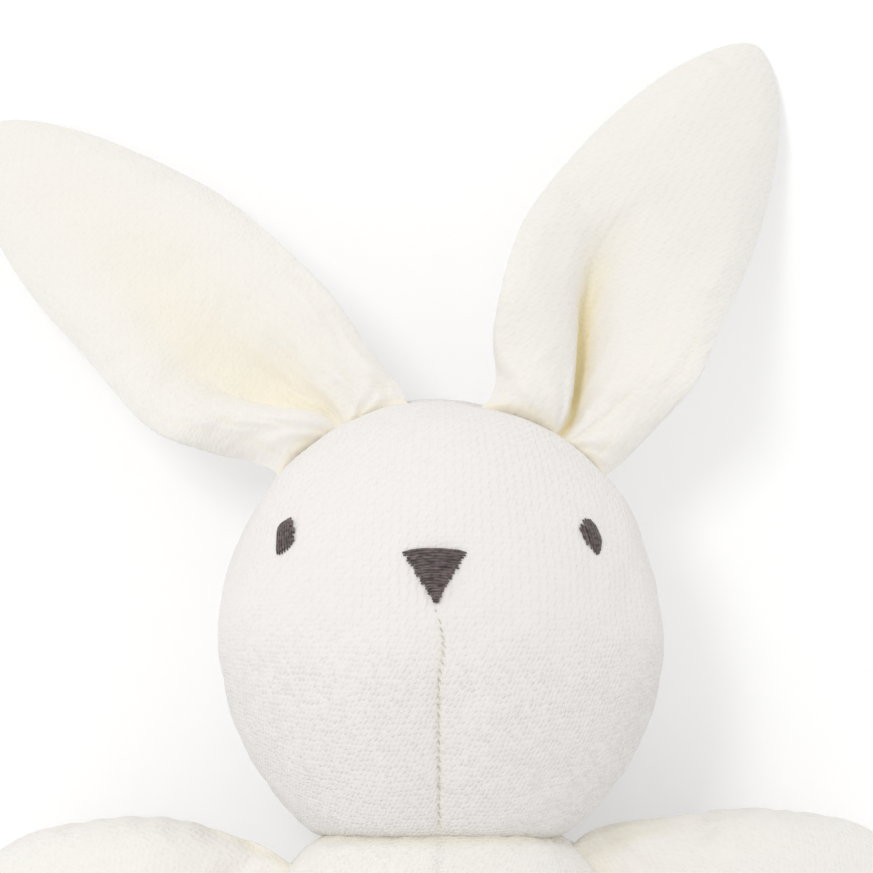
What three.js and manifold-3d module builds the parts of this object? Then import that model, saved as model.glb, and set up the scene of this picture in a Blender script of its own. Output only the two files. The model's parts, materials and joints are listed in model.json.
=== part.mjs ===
// A plush bunny rattle lying on its back, face up. Stuffed velour head, torso, arms, legs and ears
// meet at flat sewn seams that flex, and a capsule of loose beads sits in the torso's stuffing.
// Millimetres. +Z points up out of the face and +Y runs from the feet to the ears.
// The origin is the middle of the flat that the torso rests on. Left and right are the viewer's.
import * as THREE from "three";
import { mergeVertices } from "three/addons/utils/BufferGeometryUtils.js";
import Module from "manifold-3d";

const wasm = await Module();
wasm.setup();

// Cloth, stuffing and clearances
const CLOTH = 2; // velour with its pile and seam allowance
const GAP = 0.3; // clearance between pieces that touch
const PRESS = 0.5; // how far weight flattens a soft form on the table
const FLEX_SEAM = 6; // length at a limb's root that is left unstuffed, so that the seam can flex
const ROOT_ROUND = 2.4; // radius of the rolled edge that a limb or ear turns on
const ROOT_EASE = 0.2; // how far that edge stands proud of a true circle

// Head, an oval cut off by the neck seam
const HEAD_WIDTH = 69;
const HEAD_HEIGHT = 74;
const HEAD_DEPTH = 60;
const NECK_BELOW_HEAD_CENTRE = 30.7;

// Torso, a fuller oval that takes its neck width from the head
const TORSO_WIDTH = 60;
const TORSO_LENGTH = 64;
const TORSO_DEPTH = 48;
const TORSO_FULLNESS = 2.2; // 2 is an ellipse, more is squarer
const NECK_RISE_LENGTH = 18; // length below the neck over which the chest rises to meet the head

// Ears, the same cut for both, posed apart. In a cut, lengths run from the root seam, swell is the
// length over which the stuffing fills out, and taper is 0.5 for a round tip and more for a point.
const EAR = {
  length: 79,
  halfWidth: 17.4,
  rootHalfWidth: 11.5,
  widestAt: 27,
  halfDepth: 5,
  swell: 12,
  taper: 0.58,
};
const EAR_ROOT_OFFSET = 16.2; // from the head's centre line to the middle of the root
const EAR_FOLD_START = 3; // from the root seam to where the trough along the lining begins
const EAR_FOLD_FULL = 14; // from the root seam to where it is deepest
const EAR_FOLD_END = 52; // from the root seam to where it has run out
const EAR_BEND_LENGTH = 16; // length over which an ear swings to its own heading
const EAR_SLIP_FULL = 9; // from the root seam to where an ear has slipped sideways
const EAR_SLIP_EASE = 18; // from the root seam to where it starts to come back
const EAR_SLIP_END = 46; // from the root seam to where it is back
// Heading is degrees outwards from +Y past the bend, curl is the further turn outwards to the tip,
// pleat is the length that a deeper fold takes up at the root, and slip is how far the fullness
// sits to the left of the middle line.
const EAR_POSES = {
  left: { heading: 62, curl: -20, foldDepth: 5, pleat: 0, slip: 3.2 },
  right: { heading: 24, curl: 10, foldDepth: 8, pleat: 4, slip: 1 },
};

// Arms and legs
const ARM = {
  length: 54,
  halfWidth: 11.5,
  rootHalfWidth: 6.8,
  widestAt: 33,
  halfDepth: 10,
  swell: 16,
  taper: 0.5,
};
const SHOULDER_BELOW_NECK = 10.2;
const ARM_BEND_LENGTH = 24;
const ARM_POSES = { left: { heading: 99.5 }, right: { heading: 95.5 } };
const LEG = {
  length: 45,
  halfWidth: 12.5,
  rootHalfWidth: 8.5,
  widestAt: 24,
  halfDepth: 10.5,
  swell: 15,
  taper: 0.5,
};
const HIP_OFFSET = 13.5; // from the centre line to the middle of a leg's root
const LEG_BEND_LENGTH = 26;
const LEG_HEADING = 170;

// Embroidered face, measured from the head's centre
const NOSE_TOP = 14;
const NOSE_HEIGHT = 8.5;
const NOSE_WIDTH = 10.4;
const NOSE_CORNER = 0.9;
const EYE_OFFSET = 23.3;
const EYE_HEIGHT_ABOVE_CENTRE = 15.9;
const EYE_LENGTH = 5.8;
const EYE_WIDTH = 2.8;
const EYE_LEAN = 21; // degrees, tops towards the middle
const STITCH_THICKNESS = 0.9;
const DART_THREAD = 0.8; // diameter of the thread that closes the chin dart
const DART_BELOW_NOSE = 1.5;
const DART_ABOVE_NECK = 3;

// Rattle capsule and its beads
const CAPSULE_RADIUS = 15;
const CAPSULE_WALL = 1.6;
const CAPSULE_BELOW_CENTRE = 3; // towards the feet
const LIP_HEIGHT = 2.4; // of the ring that locates one shell in the other
const LIP_WALL = 1.2;
const BEAD_RADIUS = 2.5;
const BEAD_RING_RADIUS = 5.8;
const BEADS_IN_RING = 4;

// Facets
const FINE_RINGS = 14;
const FINE_SIDES = 28;
const LIMB_RINGS = 12;
const LIMB_SIDES = 16;
const INNER_RINGS = 8;
const INNER_SIDES = 12;
const EAR_SIDES = 20;
const SEAM_STEPS = 8;
const CAPSULE_SIDES = 20;
const CAPSULE_STEPS = 5; // from the capsule's pole to its rim
const FAR = 500; // reach of the blocks that cut, past every piece

const sides = { left: -1, right: 1 };
const radians = THREE.MathUtils.degToRad;
const smooth = (x) => THREE.MathUtils.smoothstep(x, 0, 1);

const cloth = (color) => new THREE.MeshStandardMaterial({ color, roughness: 0.95, metalness: 0 });
const materials = {
  headVelour: cloth(0xecece8),
  bodyVelour: cloth(0xf1eee7),
  earVelour: cloth(0xf0ede4),
  earLining: cloth(0xf6f0e0),
  stuffing: cloth(0xf7f7f5),
  thread: new THREE.MeshStandardMaterial({ color: 0x5c5352, roughness: 0.55, metalness: 0 }),
  seamThread: new THREE.MeshStandardMaterial({ color: 0xe2ddc8, roughness: 0.7, metalness: 0 }),
  capsule: new THREE.MeshStandardMaterial({ color: 0xe9eef0, roughness: 0.35, metalness: 0 }),
  bead: new THREE.MeshStandardMaterial({ color: 0x9aa0a6, roughness: 0.3, metalness: 0.9 }),
};

// Solids and geometries

function solidOf(geometry) {
  const bare = geometry.clone();
  bare.deleteAttribute("normal");
  bare.deleteAttribute("uv");
  const merged = mergeVertices(bare, 1e-4);
  return new wasm.Manifold(
    new wasm.Mesh({
      numProp: 3,
      vertProperties: merged.attributes.position.array,
      triVerts: new Uint32Array(merged.index.array),
    }),
  );
}

function geometryOf(solid) {
  const mesh = solid.getMesh();
  const geometry = new THREE.BufferGeometry();
  geometry.setAttribute("position", new THREE.BufferAttribute(mesh.vertProperties, mesh.numProp));
  geometry.setIndex(new THREE.BufferAttribute(mesh.triVerts, 1));
  return geometry;
}

function meshOf(name, solid, material) {
  const geometry = geometryOf(solid);
  geometry.computeVertexNormals();
  const mesh = new THREE.Mesh(geometry, material);
  mesh.name = name;
  return mesh;
}

// Moves every point of a geometry by a rule that keeps neighbours in order.
function reshaped(geometry, move) {
  const position = geometry.attributes.position;
  const point = new THREE.Vector3();
  for (let i = 0; i < position.count; i += 1) {
    move(point.fromBufferAttribute(position, i));
    position.setXYZ(i, point.x, point.y, point.z);
  }
  return geometry;
}

// A block that fills everything beyond a plane square to one axis.
function beyond(axis, direction, distance) {
  const block = new THREE.BoxGeometry(FAR, FAR, FAR);
  const place = new THREE.Vector3();
  place[axis] = direction * (distance + FAR / 2);
  block.translate(place.x, place.y, place.z);
  return solidOf(block);
}

const leftHalf = beyond("x", -1, GAP / 2);
const rightHalf = beyond("x", 1, GAP / 2);

// Everything below the table, seen from inside a placed group.
function tableFrom(group) {
  group.updateWorldMatrix(true, false);
  const table = new THREE.BoxGeometry(FAR, FAR, FAR);
  table.translate(0, 0, -FAR / 2);
  table.applyMatrix4(group.matrixWorld.clone().invert());
  return solidOf(table);
}

// Stuffed forms. A form has oval sections along +Y: station(t) gives the place and half sizes of
// the section at share t of the way from its first end to its last.

// A closed skin over a form's sections, fanned shut at both ends.
function loft(form, rings, around) {
  const points = [];
  const faces = [];
  const loops = [];
  for (let i = 0; i < rings; i += 1) {
    const { y, halfWidth, halfDepth } = form.station(i / (rings - 1));
    if (halfWidth < 1e-6) continue;
    loops.push(points.length / 3);
    for (let j = 0; j < around; j += 1) {
      const turn = (2 * Math.PI * j) / around;
      points.push(halfWidth * Math.cos(turn), y, halfDepth * Math.sin(turn));
    }
  }
  const firstPole = points.length / 3;
  points.push(0, form.station(0).y, 0, 0, form.station(1).y, 0);
  for (let j = 0; j < around; j += 1) {
    const k = (j + 1) % around;
    faces.push(firstPole, loops[0] + j, loops[0] + k);
    faces.push(firstPole + 1, loops.at(-1) + k, loops.at(-1) + j);
    for (let i = 0; i + 1 < loops.length; i += 1) {
      const [here, next] = [loops[i], loops[i + 1]];
      faces.push(here + j, next + j, next + k, here + j, next + k, here + k);
    }
  }
  const geometry = new THREE.BufferGeometry();
  geometry.setAttribute("position", new THREE.Float32BufferAttribute(points, 3));
  geometry.setIndex(faces);
  return geometry;
}

// The same form drawn in all round, and by its own amount at its first end.
function drawnIn(form, by, atFirstEnd = by) {
  const from = form.station(0).y;
  const to = form.station(1).y;
  const stretch = (to - by - from - atFirstEnd) / (to - from);
  return {
    ...form,
    station(t) {
      const { y, halfWidth, halfDepth } = form.station(t);
      return {
        y: from + atFirstEnd + (y - from) * stretch,
        halfWidth: halfWidth * (1 - by / form.fullHalfWidth),
        halfDepth: halfDepth * (1 - by / form.fullHalfDepth),
      };
    },
  };
}

// The block above a form's seam plane, clear of it by half a gap.
function aboveSeam(form) {
  const from = form.station(0).y - CLOTH;
  const to = form.station(1).y + CLOTH;
  const across = 2 * (form.fullHalfWidth + CLOTH);
  const reach = 2 * form.fullHalfDepth;
  const block = new THREE.BoxGeometry(across, to - from, reach, SEAM_STEPS, 2 * SEAM_STEPS, 1);
  return block.translate(0, (from + to) / 2, (GAP + reach) / 2);
}

// Its twin below, facet for facet.
function belowSeam(form) {
  const block = aboveSeam(form).scale(1, 1, -1);
  block.setIndex(Array.from(block.index.array).reverse());
  return block;
}

// The cloth panels and the stuffing of a form, all shaped by the same move.
function stuffed(form, move, rings, around, unstuffed = 0) {
  const lining = drawnIn(form, CLOTH, CLOTH + unstuffed);
  const core = drawnIn(form, CLOTH + GAP, CLOTH + GAP + unstuffed);
  const shaped = (geometry) => solidOf(reshaped(geometry, move));
  const outside = shaped(loft(form, rings, around));
  const cover = outside.subtract(shaped(loft(lining, INNER_RINGS, INNER_SIDES)));
  const upper = shaped(aboveSeam(form));
  const lower = shaped(belowSeam(form));
  return {
    front: cover.intersect(upper),
    back: cover.intersect(lower),
    stuffing: shaped(loft(core, INNER_RINGS, INNER_SIDES)),
    upper,
    lower,
  };
}

// A limb or ear cut like a leaf, thin at the rolled seam that it hangs by. Its hinge is at y = 0.
function leaf({ length, halfWidth, rootHalfWidth, widestAt, halfDepth, swell, taper }) {
  const widthAt = (s) =>
    s < widestAt
      ? halfWidth - (halfWidth - rootHalfWidth) * (1 - s / widestAt) ** 1.6
      : halfWidth * Math.max(0, 1 - ((s - widestAt) / (length - widestAt)) ** 2) ** taper;
  const rollAt = (s) => Math.sqrt((ROOT_ROUND + ROOT_EASE) ** 2 - (ROOT_ROUND - s) ** 2);
  const depthAt = (s) => {
    const full = halfDepth * (widthAt(s) / halfWidth) ** 0.8;
    const root = rollAt(Math.min(s, ROOT_ROUND));
    return root + (full - root) * smooth((s - ROOT_ROUND) / swell);
  };
  return {
    fullHalfWidth: halfWidth,
    fullHalfDepth: halfDepth,
    station(t) {
      const s = (length * (1 - Math.cos(Math.PI * t))) / 2;
      return { y: s - ROOT_ROUND, halfWidth: widthAt(s), halfDepth: depthAt(s) };
    },
  };
}

// Curves a leaf sideways in its own plane, by an angle in radians over a length from its hinge.
function swing(point, angle, over) {
  const along = THREE.MathUtils.clamp(point.y, 0, over);
  const turn = (angle * along) / over;
  const arc = Math.abs(angle) < 1e-6 ? 0 : over / angle;
  const spineX = arc * (1 - Math.cos(turn));
  const spineY = arc === 0 ? along : arc * Math.sin(turn);
  const across = point.x;
  const past = point.y - along;
  point.x = spineX + past * Math.sin(turn) + across * Math.cos(turn);
  point.y = spineY + past * Math.cos(turn) - across * Math.sin(turn);
}

// The droop that brings a leaf's underside to rest on the table from a hinge at some height.
function restingDroop(form, hingeHeight, move) {
  const lowest = (droop) => {
    let low = Infinity;
    for (let t = 0; t <= 1; t += 1 / 64) {
      const { y, halfDepth } = form.station(t);
      const spine = new THREE.Vector3(0, y, 0);
      move(spine);
      low = Math.min(low, hingeHeight - spine.y * Math.sin(droop) - halfDepth * Math.cos(droop));
    }
    return low;
  };
  let [high, low] = [0, Math.PI / 3];
  for (let i = 0; i < 40; i += 1) {
    const middle = (high + low) / 2;
    if (lowest(middle) > -PRESS) high = middle;
    else low = middle;
  }
  return (high + low) / 2;
}

// A seat is a point on a host's outline with its outward direction. The group returned hangs
// there by its hinge, level, with +Y pointing outwards.
function hingeAt(seat, height) {
  const hinge = new THREE.Group();
  const reach = GAP + ROOT_ROUND;
  hinge.position.set(seat.x + seat.out.x * reach, seat.y + seat.out.y * reach, height);
  hinge.rotation.z = Math.atan2(seat.out.y, seat.out.x) - Math.PI / 2;
  return hinge;
}

// A bearing in degrees from +Y, clockwise, for a direction in the plane of the table.
const bearingOf = (direction) => THREE.MathUtils.radToDeg(Math.atan2(direction.x, direction.y));

// Hangs a leaf's three pieces on its hinge group, drooped to the table and cut flat there.
function hang(host, hinge, names, form, around, move, clothes) {
  host.add(hinge);
  const limb = new THREE.Group();
  limb.name = names.body;
  hinge.add(limb);
  hinge.updateWorldMatrix(true, false);
  const hingeHeight = new THREE.Vector3().setFromMatrixPosition(hinge.matrixWorld).z;
  limb.rotation.x = -restingDroop(form, hingeHeight, move);
  const table = tableFrom(limb);
  const { front, back, stuffing } = stuffed(form, move, LIMB_RINGS, around, FLEX_SEAM);
  limb.add(meshOf(names.front, front.subtract(table), clothes.front));
  limb.add(meshOf(names.back, back.subtract(table), clothes.back));
  limb.add(meshOf(names.inside, stuffing.subtract(table), materials.stuffing));
  return limb;
}

// Head

const headForm = {
  fullHalfWidth: HEAD_WIDTH / 2,
  fullHalfDepth: HEAD_DEPTH / 2,
  station(t) {
    const neckAngle = Math.acos(-NECK_BELOW_HEAD_CENTRE / (HEAD_HEIGHT / 2));
    const angle = neckAngle * (1 - t);
    return {
      y: (HEAD_HEIGHT / 2) * Math.cos(angle),
      halfWidth: (HEAD_WIDTH / 2) * Math.sin(angle),
      halfDepth: (HEAD_DEPTH / 2) * Math.sin(angle),
    };
  },
};
const neckHalfWidth = headForm.station(0).halfWidth;

// A thin pad of stitches that follows the face inside an outline drawn from the front.
function stitchedPad(outline) {
  const prism = new THREE.ExtrudeGeometry(outline, { depth: HEAD_DEPTH, bevelEnabled: false });
  const under = solidOf(loft(drawnIn(headForm, -GAP), FINE_RINGS, FINE_SIDES));
  const over = solidOf(loft(drawnIn(headForm, -GAP - STITCH_THICKNESS), FINE_RINGS, FINE_SIDES));
  return solidOf(prism).intersect(over).subtract(under);
}

function noseOutline() {
  const corners = [
    [-NOSE_WIDTH / 2, NOSE_TOP],
    [0, NOSE_TOP - NOSE_HEIGHT],
    [NOSE_WIDTH / 2, NOSE_TOP],
  ].map(([x, y]) => new THREE.Vector2(x, y));
  const outline = new THREE.Shape();
  corners.forEach((corner, i) => {
    const before = corners[(i + 2) % 3];
    const after = corners[(i + 1) % 3];
    const enter = corner.clone().lerp(before, NOSE_CORNER / corner.distanceTo(before));
    const leave = corner.clone().lerp(after, NOSE_CORNER / corner.distanceTo(after));
    if (i === 0) outline.moveTo(enter.x, enter.y);
    else outline.lineTo(enter.x, enter.y);
    outline.quadraticCurveTo(corner.x, corner.y, leave.x, leave.y);
  });
  outline.closePath();
  return outline;
}

function eyeOutline(side) {
  const outline = new THREE.Shape();
  const lean = radians(EYE_LEAN) * side;
  outline.absellipse(
    side * EYE_OFFSET,
    EYE_HEIGHT_ABOVE_CENTRE,
    EYE_WIDTH / 2,
    EYE_LENGTH / 2,
    0,
    2 * Math.PI,
    false,
    lean,
  );
  return outline;
}

// The seam thread of the chin dart, from under the nose to above the neck.
function dartThread() {
  const stand = GAP + DART_THREAD / 2;
  const reachY = HEAD_HEIGHT / 2 + stand;
  const reachZ = HEAD_DEPTH / 2 + stand;
  const start = Math.acos((NOSE_TOP - NOSE_HEIGHT - DART_BELOW_NOSE) / reachY);
  const end = Math.acos((DART_ABOVE_NECK - NECK_BELOW_HEAD_CENTRE) / reachY);
  const route = [];
  for (let i = 0; i <= 8; i += 1) {
    const angle = THREE.MathUtils.lerp(start, end, i / 8);
    route.push(new THREE.Vector3(0, reachY * Math.cos(angle), reachZ * Math.sin(angle)));
  }
  const section = new THREE.Shape();
  section.absarc(0, 0, DART_THREAD / 2, 0, 2 * Math.PI);
  return solidOf(
    new THREE.ExtrudeGeometry(section, {
      steps: 12,
      curveSegments: 3,
      bevelEnabled: false,
      extrudePath: new THREE.CatmullRomCurve3(route),
    }),
  );
}

function makeHead(neckY) {
  const head = new THREE.Group();
  head.name = "head";
  head.position.set(0, neckY + GAP + NECK_BELOW_HEAD_CENTRE, HEAD_DEPTH / 2 - PRESS);
  const table = tableFrom(head);
  const { front, back, stuffing } = stuffed(headForm, () => {}, FINE_RINGS, FINE_SIDES);
  head.add(meshOf("head_face_panel", front, materials.headVelour));
  head.add(meshOf("head_back_panel", back.subtract(table), materials.headVelour));
  head.add(meshOf("head_stuffing", stuffing, materials.stuffing));
  head.add(meshOf("nose_embroidery", stitchedPad(noseOutline()), materials.thread));
  for (const [name, side] of Object.entries(sides)) {
    head.add(meshOf(`${name}_eye_embroidery`, stitchedPad(eyeOutline(side)), materials.thread));
  }
  head.add(meshOf("chin_dart_thread", dartThread(), materials.seamThread));
  return head;
}

// Ears

function earSeat(side) {
  const x = side * EAR_ROOT_OFFSET;
  const y = (HEAD_HEIGHT / 2) * Math.sqrt(1 - (x / (HEAD_WIDTH / 2)) ** 2);
  const out = new THREE.Vector2(x / (HEAD_WIDTH / 2) ** 2, y / (HEAD_HEIGHT / 2) ** 2).normalize();
  return { x, y, out };
}

function makeEar(head, name, side) {
  const { heading, curl, foldDepth, pleat, slip } = EAR_POSES[name];
  const cut = { ...EAR, length: EAR.length - pleat };
  const form = leaf(cut);
  const seat = earSeat(side);
  const turn = radians(side * heading - bearingOf(seat.out));
  const move = (point) => {
    const s = point.y + ROOT_ROUND;
    const depth =
      smooth((s - EAR_FOLD_START) / (EAR_FOLD_FULL - EAR_FOLD_START)) *
      (1 - smooth((s - EAR_FOLD_FULL) / (EAR_FOLD_END - EAR_FOLD_FULL)));
    point.z += foldDepth * depth * (point.x / EAR.halfWidth) ** 2;
    point.x -=
      slip *
      smooth(s / EAR_SLIP_FULL) *
      (1 - smooth((s - EAR_SLIP_EASE) / (EAR_SLIP_END - EAR_SLIP_EASE)));
    swing(point, radians(side * curl), EAR.length);
    swing(point, turn, EAR_BEND_LENGTH);
  };
  const names = {
    body: `${name}_ear`,
    front: `${name}_ear_lining`,
    back: `${name}_ear_back`,
    inside: `${name}_ear_wadding`,
  };
  const clothes = { front: materials.earLining, back: materials.earVelour };
  hang(head, hingeAt(seat, 0), names, form, EAR_SIDES, move, clothes);
}

// Torso

const torsoHalf = { width: TORSO_WIDTH / 2, length: TORSO_LENGTH / 2, depth: TORSO_DEPTH / 2 };
const fullness = (share) => (1 - Math.abs(share) ** TORSO_FULLNESS) ** (1 / TORSO_FULLNESS);
const neckY = torsoHalf.length * fullness(neckHalfWidth / torsoHalf.width);

const torsoForm = {
  fullHalfWidth: torsoHalf.width,
  fullHalfDepth: torsoHalf.depth,
  station(t) {
    const neckAngle = Math.acos((neckHalfWidth / torsoHalf.width) ** (TORSO_FULLNESS / 2));
    const angle = THREE.MathUtils.lerp(-Math.PI / 2, neckAngle, t);
    const power = 2 / TORSO_FULLNESS;
    const across = t === 0 ? 0 : Math.cos(angle) ** power;
    return {
      y: torsoHalf.length * Math.sign(angle) * Math.abs(Math.sin(angle)) ** power,
      halfWidth: torsoHalf.width * across,
      halfDepth: torsoHalf.depth * across,
    };
  },
};

const torsoCentre = TORSO_DEPTH / 2 - PRESS;
const chestRise = HEAD_DEPTH / 2 - TORSO_DEPTH / 2;
const riseAt = (y) => chestRise * smooth((y - neckY + NECK_RISE_LENGTH) / NECK_RISE_LENGTH);

function makeTorso() {
  const torso = new THREE.Group();
  torso.name = "torso";
  torso.position.set(0, 0, torsoCentre);
  const table = tableFrom(torso);
  const raise = (point) => {
    point.z += riseAt(point.y);
  };
  const { front, back, stuffing, upper, lower } = stuffed(
    torsoForm,
    raise,
    FINE_RINGS,
    FINE_SIDES,
  );
  const nest = new THREE.SphereGeometry(CAPSULE_RADIUS + GAP, CAPSULE_SIDES, 2 * CAPSULE_STEPS);
  nest.rotateX(Math.PI / 2);
  nest.translate(0, -CAPSULE_BELOW_CENTRE, 0);
  const hollow = solidOf(nest);
  const { bodyVelour } = materials;
  torso.add(meshOf("torso_front_left_panel", front.intersect(leftHalf), bodyVelour));
  torso.add(meshOf("torso_front_right_panel", front.intersect(rightHalf), bodyVelour));
  torso.add(meshOf("torso_back_panel", back.subtract(table), bodyVelour));
  for (const [name, half] of Object.entries({ front: upper, back: lower })) {
    const fill = stuffing.intersect(half).subtract(hollow);
    torso.add(meshOf(`torso_stuffing_${name}`, fill, materials.stuffing));
  }
  return torso;
}

// The point of the torso's outline at a height along it, on one side.
function torsoSeat(x, y) {
  const out = new THREE.Vector2(
    (Math.sign(x) * (Math.abs(x) / torsoHalf.width) ** (TORSO_FULLNESS - 1)) / torsoHalf.width,
    (Math.sign(y) * (Math.abs(y) / torsoHalf.length) ** (TORSO_FULLNESS - 1)) / torsoHalf.length,
  ).normalize();
  return { x, y, out };
}

// Arms and legs

function makeLimb(torso, name, seat, cut, heading, bendLength) {
  const turn = radians(heading - bearingOf(seat.out));
  const move = (point) => swing(point, turn, bendLength);
  const names = {
    body: name,
    front: `${name}_front_panel`,
    back: `${name}_back_panel`,
    inside: `${name}_stuffing`,
  };
  const clothes = { front: materials.bodyVelour, back: materials.bodyVelour };
  hang(torso, hingeAt(seat, riseAt(seat.y)), names, leaf(cut), LIMB_SIDES, move, clothes);
}

function makeArm(torso, name, side) {
  const y = neckY - SHOULDER_BELOW_NECK;
  const seat = torsoSeat(side * torsoHalf.width * fullness(y / torsoHalf.length), y);
  makeLimb(torso, `${name}_arm`, seat, ARM, side * ARM_POSES[name].heading, ARM_BEND_LENGTH);
}

function makeLeg(torso, name, side) {
  const y = -torsoHalf.length * fullness(HIP_OFFSET / torsoHalf.width);
  const seat = torsoSeat(side * HIP_OFFSET, y);
  makeLimb(torso, `${name}_leg`, seat, LEG, side * LEG_HEADING, LEG_BEND_LENGTH);
}

// Rattle capsule: two half shells, the lower with a ring that locates in the upper, and beads

const capsuleInside = CAPSULE_RADIUS - CAPSULE_WALL;
const lipOutside = Math.sqrt(capsuleInside ** 2 - LIP_HEIGHT ** 2) - GAP;

// An arc of a sphere's section about the Y axis, from one height to another.
function arcPoints(radius, fromY, toY) {
  const [start, end] = [Math.asin(fromY / radius), Math.asin(toY / radius)];
  return new THREE.Path().absarc(0, 0, radius, start, end, end < start).getPoints(CAPSULE_STEPS);
}

function turned(profile) {
  const geometry = new THREE.LatheGeometry(profile, CAPSULE_SIDES);
  return solidOf(geometry.rotateX(Math.PI / 2));
}

function frontShell() {
  return turned([
    ...arcPoints(capsuleInside, capsuleInside, GAP / 2),
    ...arcPoints(CAPSULE_RADIUS, GAP / 2, CAPSULE_RADIUS),
  ]);
}

function backShell() {
  const rim = -GAP / 2;
  return turned([
    ...arcPoints(CAPSULE_RADIUS, -CAPSULE_RADIUS, rim),
    new THREE.Vector2(lipOutside, rim),
    new THREE.Vector2(lipOutside, LIP_HEIGHT),
    new THREE.Vector2(lipOutside - LIP_WALL, LIP_HEIGHT),
    new THREE.Vector2(lipOutside - LIP_WALL, -LIP_HEIGHT),
    ...arcPoints(capsuleInside, -LIP_HEIGHT, -capsuleInside),
  ]);
}

function makeRattle() {
  const rattle = new THREE.Group();
  rattle.position.set(0, -CAPSULE_BELOW_CENTRE, 0);
  rattle.add(meshOf("rattle_front_shell", frontShell(), materials.capsule));
  rattle.add(meshOf("rattle_back_shell", backShell(), materials.capsule));
  const places = [[0, 0]];
  for (let i = 0; i < BEADS_IN_RING; i += 1) {
    const turn = (2 * Math.PI * (i + 0.5)) / BEADS_IN_RING;
    places.push([BEAD_RING_RADIUS * Math.cos(turn), BEAD_RING_RADIUS * Math.sin(turn)]);
  }
  const roam = capsuleInside - BEAD_RADIUS - GAP;
  places.forEach(([x, y], i) => {
    const bead = new THREE.SphereGeometry(BEAD_RADIUS, 12, 8);
    const mesh = meshOf(`rattle_bead_${i + 1}`, solidOf(bead), materials.bead);
    mesh.position.set(x, y, -Math.sqrt(roam ** 2 - x ** 2 - y ** 2));
    rattle.add(mesh);
  });
  return rattle;
}

// Assembly

const bunny = new THREE.Group();
const torso = makeTorso();
const head = makeHead(neckY);
bunny.add(torso, head);
torso.add(makeRattle());
for (const [name, side] of Object.entries(sides)) {
  makeEar(head, name, side);
  makeArm(torso, name, side);
  makeLeg(torso, name, side);
}

export default bunny;
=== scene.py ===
"""Dress the plush bunny rattle: stuffed velour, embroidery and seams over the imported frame."""
from __future__ import annotations

import json
import logging
import math
import random
from dataclasses import dataclass
from enum import Enum
from typing import Iterable, Optional, Sequence

import bmesh
import bpy
import numpy as np
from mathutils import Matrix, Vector
from mathutils.bvhtree import BVHTree


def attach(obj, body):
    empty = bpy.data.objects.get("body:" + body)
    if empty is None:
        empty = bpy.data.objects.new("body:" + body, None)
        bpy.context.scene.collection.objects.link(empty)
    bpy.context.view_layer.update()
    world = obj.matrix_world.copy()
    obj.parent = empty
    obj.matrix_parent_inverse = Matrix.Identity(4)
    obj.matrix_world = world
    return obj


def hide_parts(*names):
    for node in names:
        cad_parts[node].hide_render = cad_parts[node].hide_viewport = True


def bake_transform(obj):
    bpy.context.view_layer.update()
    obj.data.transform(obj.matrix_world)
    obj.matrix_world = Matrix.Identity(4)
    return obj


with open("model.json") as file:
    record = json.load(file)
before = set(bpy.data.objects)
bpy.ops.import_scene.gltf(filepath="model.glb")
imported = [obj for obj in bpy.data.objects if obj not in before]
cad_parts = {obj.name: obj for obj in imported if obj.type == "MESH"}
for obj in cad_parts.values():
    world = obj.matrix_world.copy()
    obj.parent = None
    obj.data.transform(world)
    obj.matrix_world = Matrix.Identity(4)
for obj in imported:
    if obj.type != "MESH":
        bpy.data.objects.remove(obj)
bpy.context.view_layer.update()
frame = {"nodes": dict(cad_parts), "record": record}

MM = 0.001
TINY = 1e-9
JOINTS = {joint["name"]: joint for joint in frame["record"]["behaviour"]["joints"]}
log = logging.getLogger("plush_rattle")

Array = np.ndarray
Triple = tuple[float, float, float]
Colour = Triple
Socket = bpy.types.NodeSocket


class Side(Enum):
    """The viewer's left or right."""

    LEFT = -1
    RIGHT = 1

    @property
    def word(self) -> str:
        """The side's name as the frame spells it."""
        return self.name.lower()


# Small shaping helpers


def smooth(value: Array, low: float, high: float) -> Array:
    """Ease from 0 at low to 1 at high."""
    share = np.clip((value - low) / (high - low), 0.0, 1.0)
    return share * share * (3 - 2 * share)


def bell(value: Array, width: float) -> Array:
    """A soft peak of 1 at zero that fades over a width."""
    return np.exp(-((value / width) ** 2))


def spike(value: Array, width: float) -> Array:
    """A sharp peak of 1 at zero, as where two panels meet, that fades over a width."""
    return np.exp(-np.abs(value) / width)


def arch(share: float, power: int) -> float:
    """A hump from 0 at both ends to 1 in the middle, flatter for a higher power."""
    return 1 - (2 * share - 1) ** power


def draw_in(across: Array, line: Array, tight: float, reach: float) -> Array:
    """Bring columns of vertices closer to a seam, and the middle one onto its line."""
    near = bell(across, reach)
    return across * (1 - tight * near) + line * near


@dataclass(frozen=True)
class Lump:
    """Smooth, repeatable unevenness of the stuffing: how high, how long, and which pattern."""

    height: float
    size: float
    seed: int
    waves: int = 10

    def at(self, points: Array) -> Array:
        """Read the unevenness.

        Args:
            points: places in millimetres, one row each.

        Returns:
            How far each place stands out, in millimetres.
        """
        rng = np.random.default_rng(self.seed)
        total = np.zeros(len(points))
        for _ in range(self.waves):
            wave = rng.normal(size=3) / self.size
            total += np.cos(points @ wave * math.pi + rng.uniform(0, 2 * math.pi))
        return self.height * (total / math.sqrt(self.waves))


# Finishes


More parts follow.
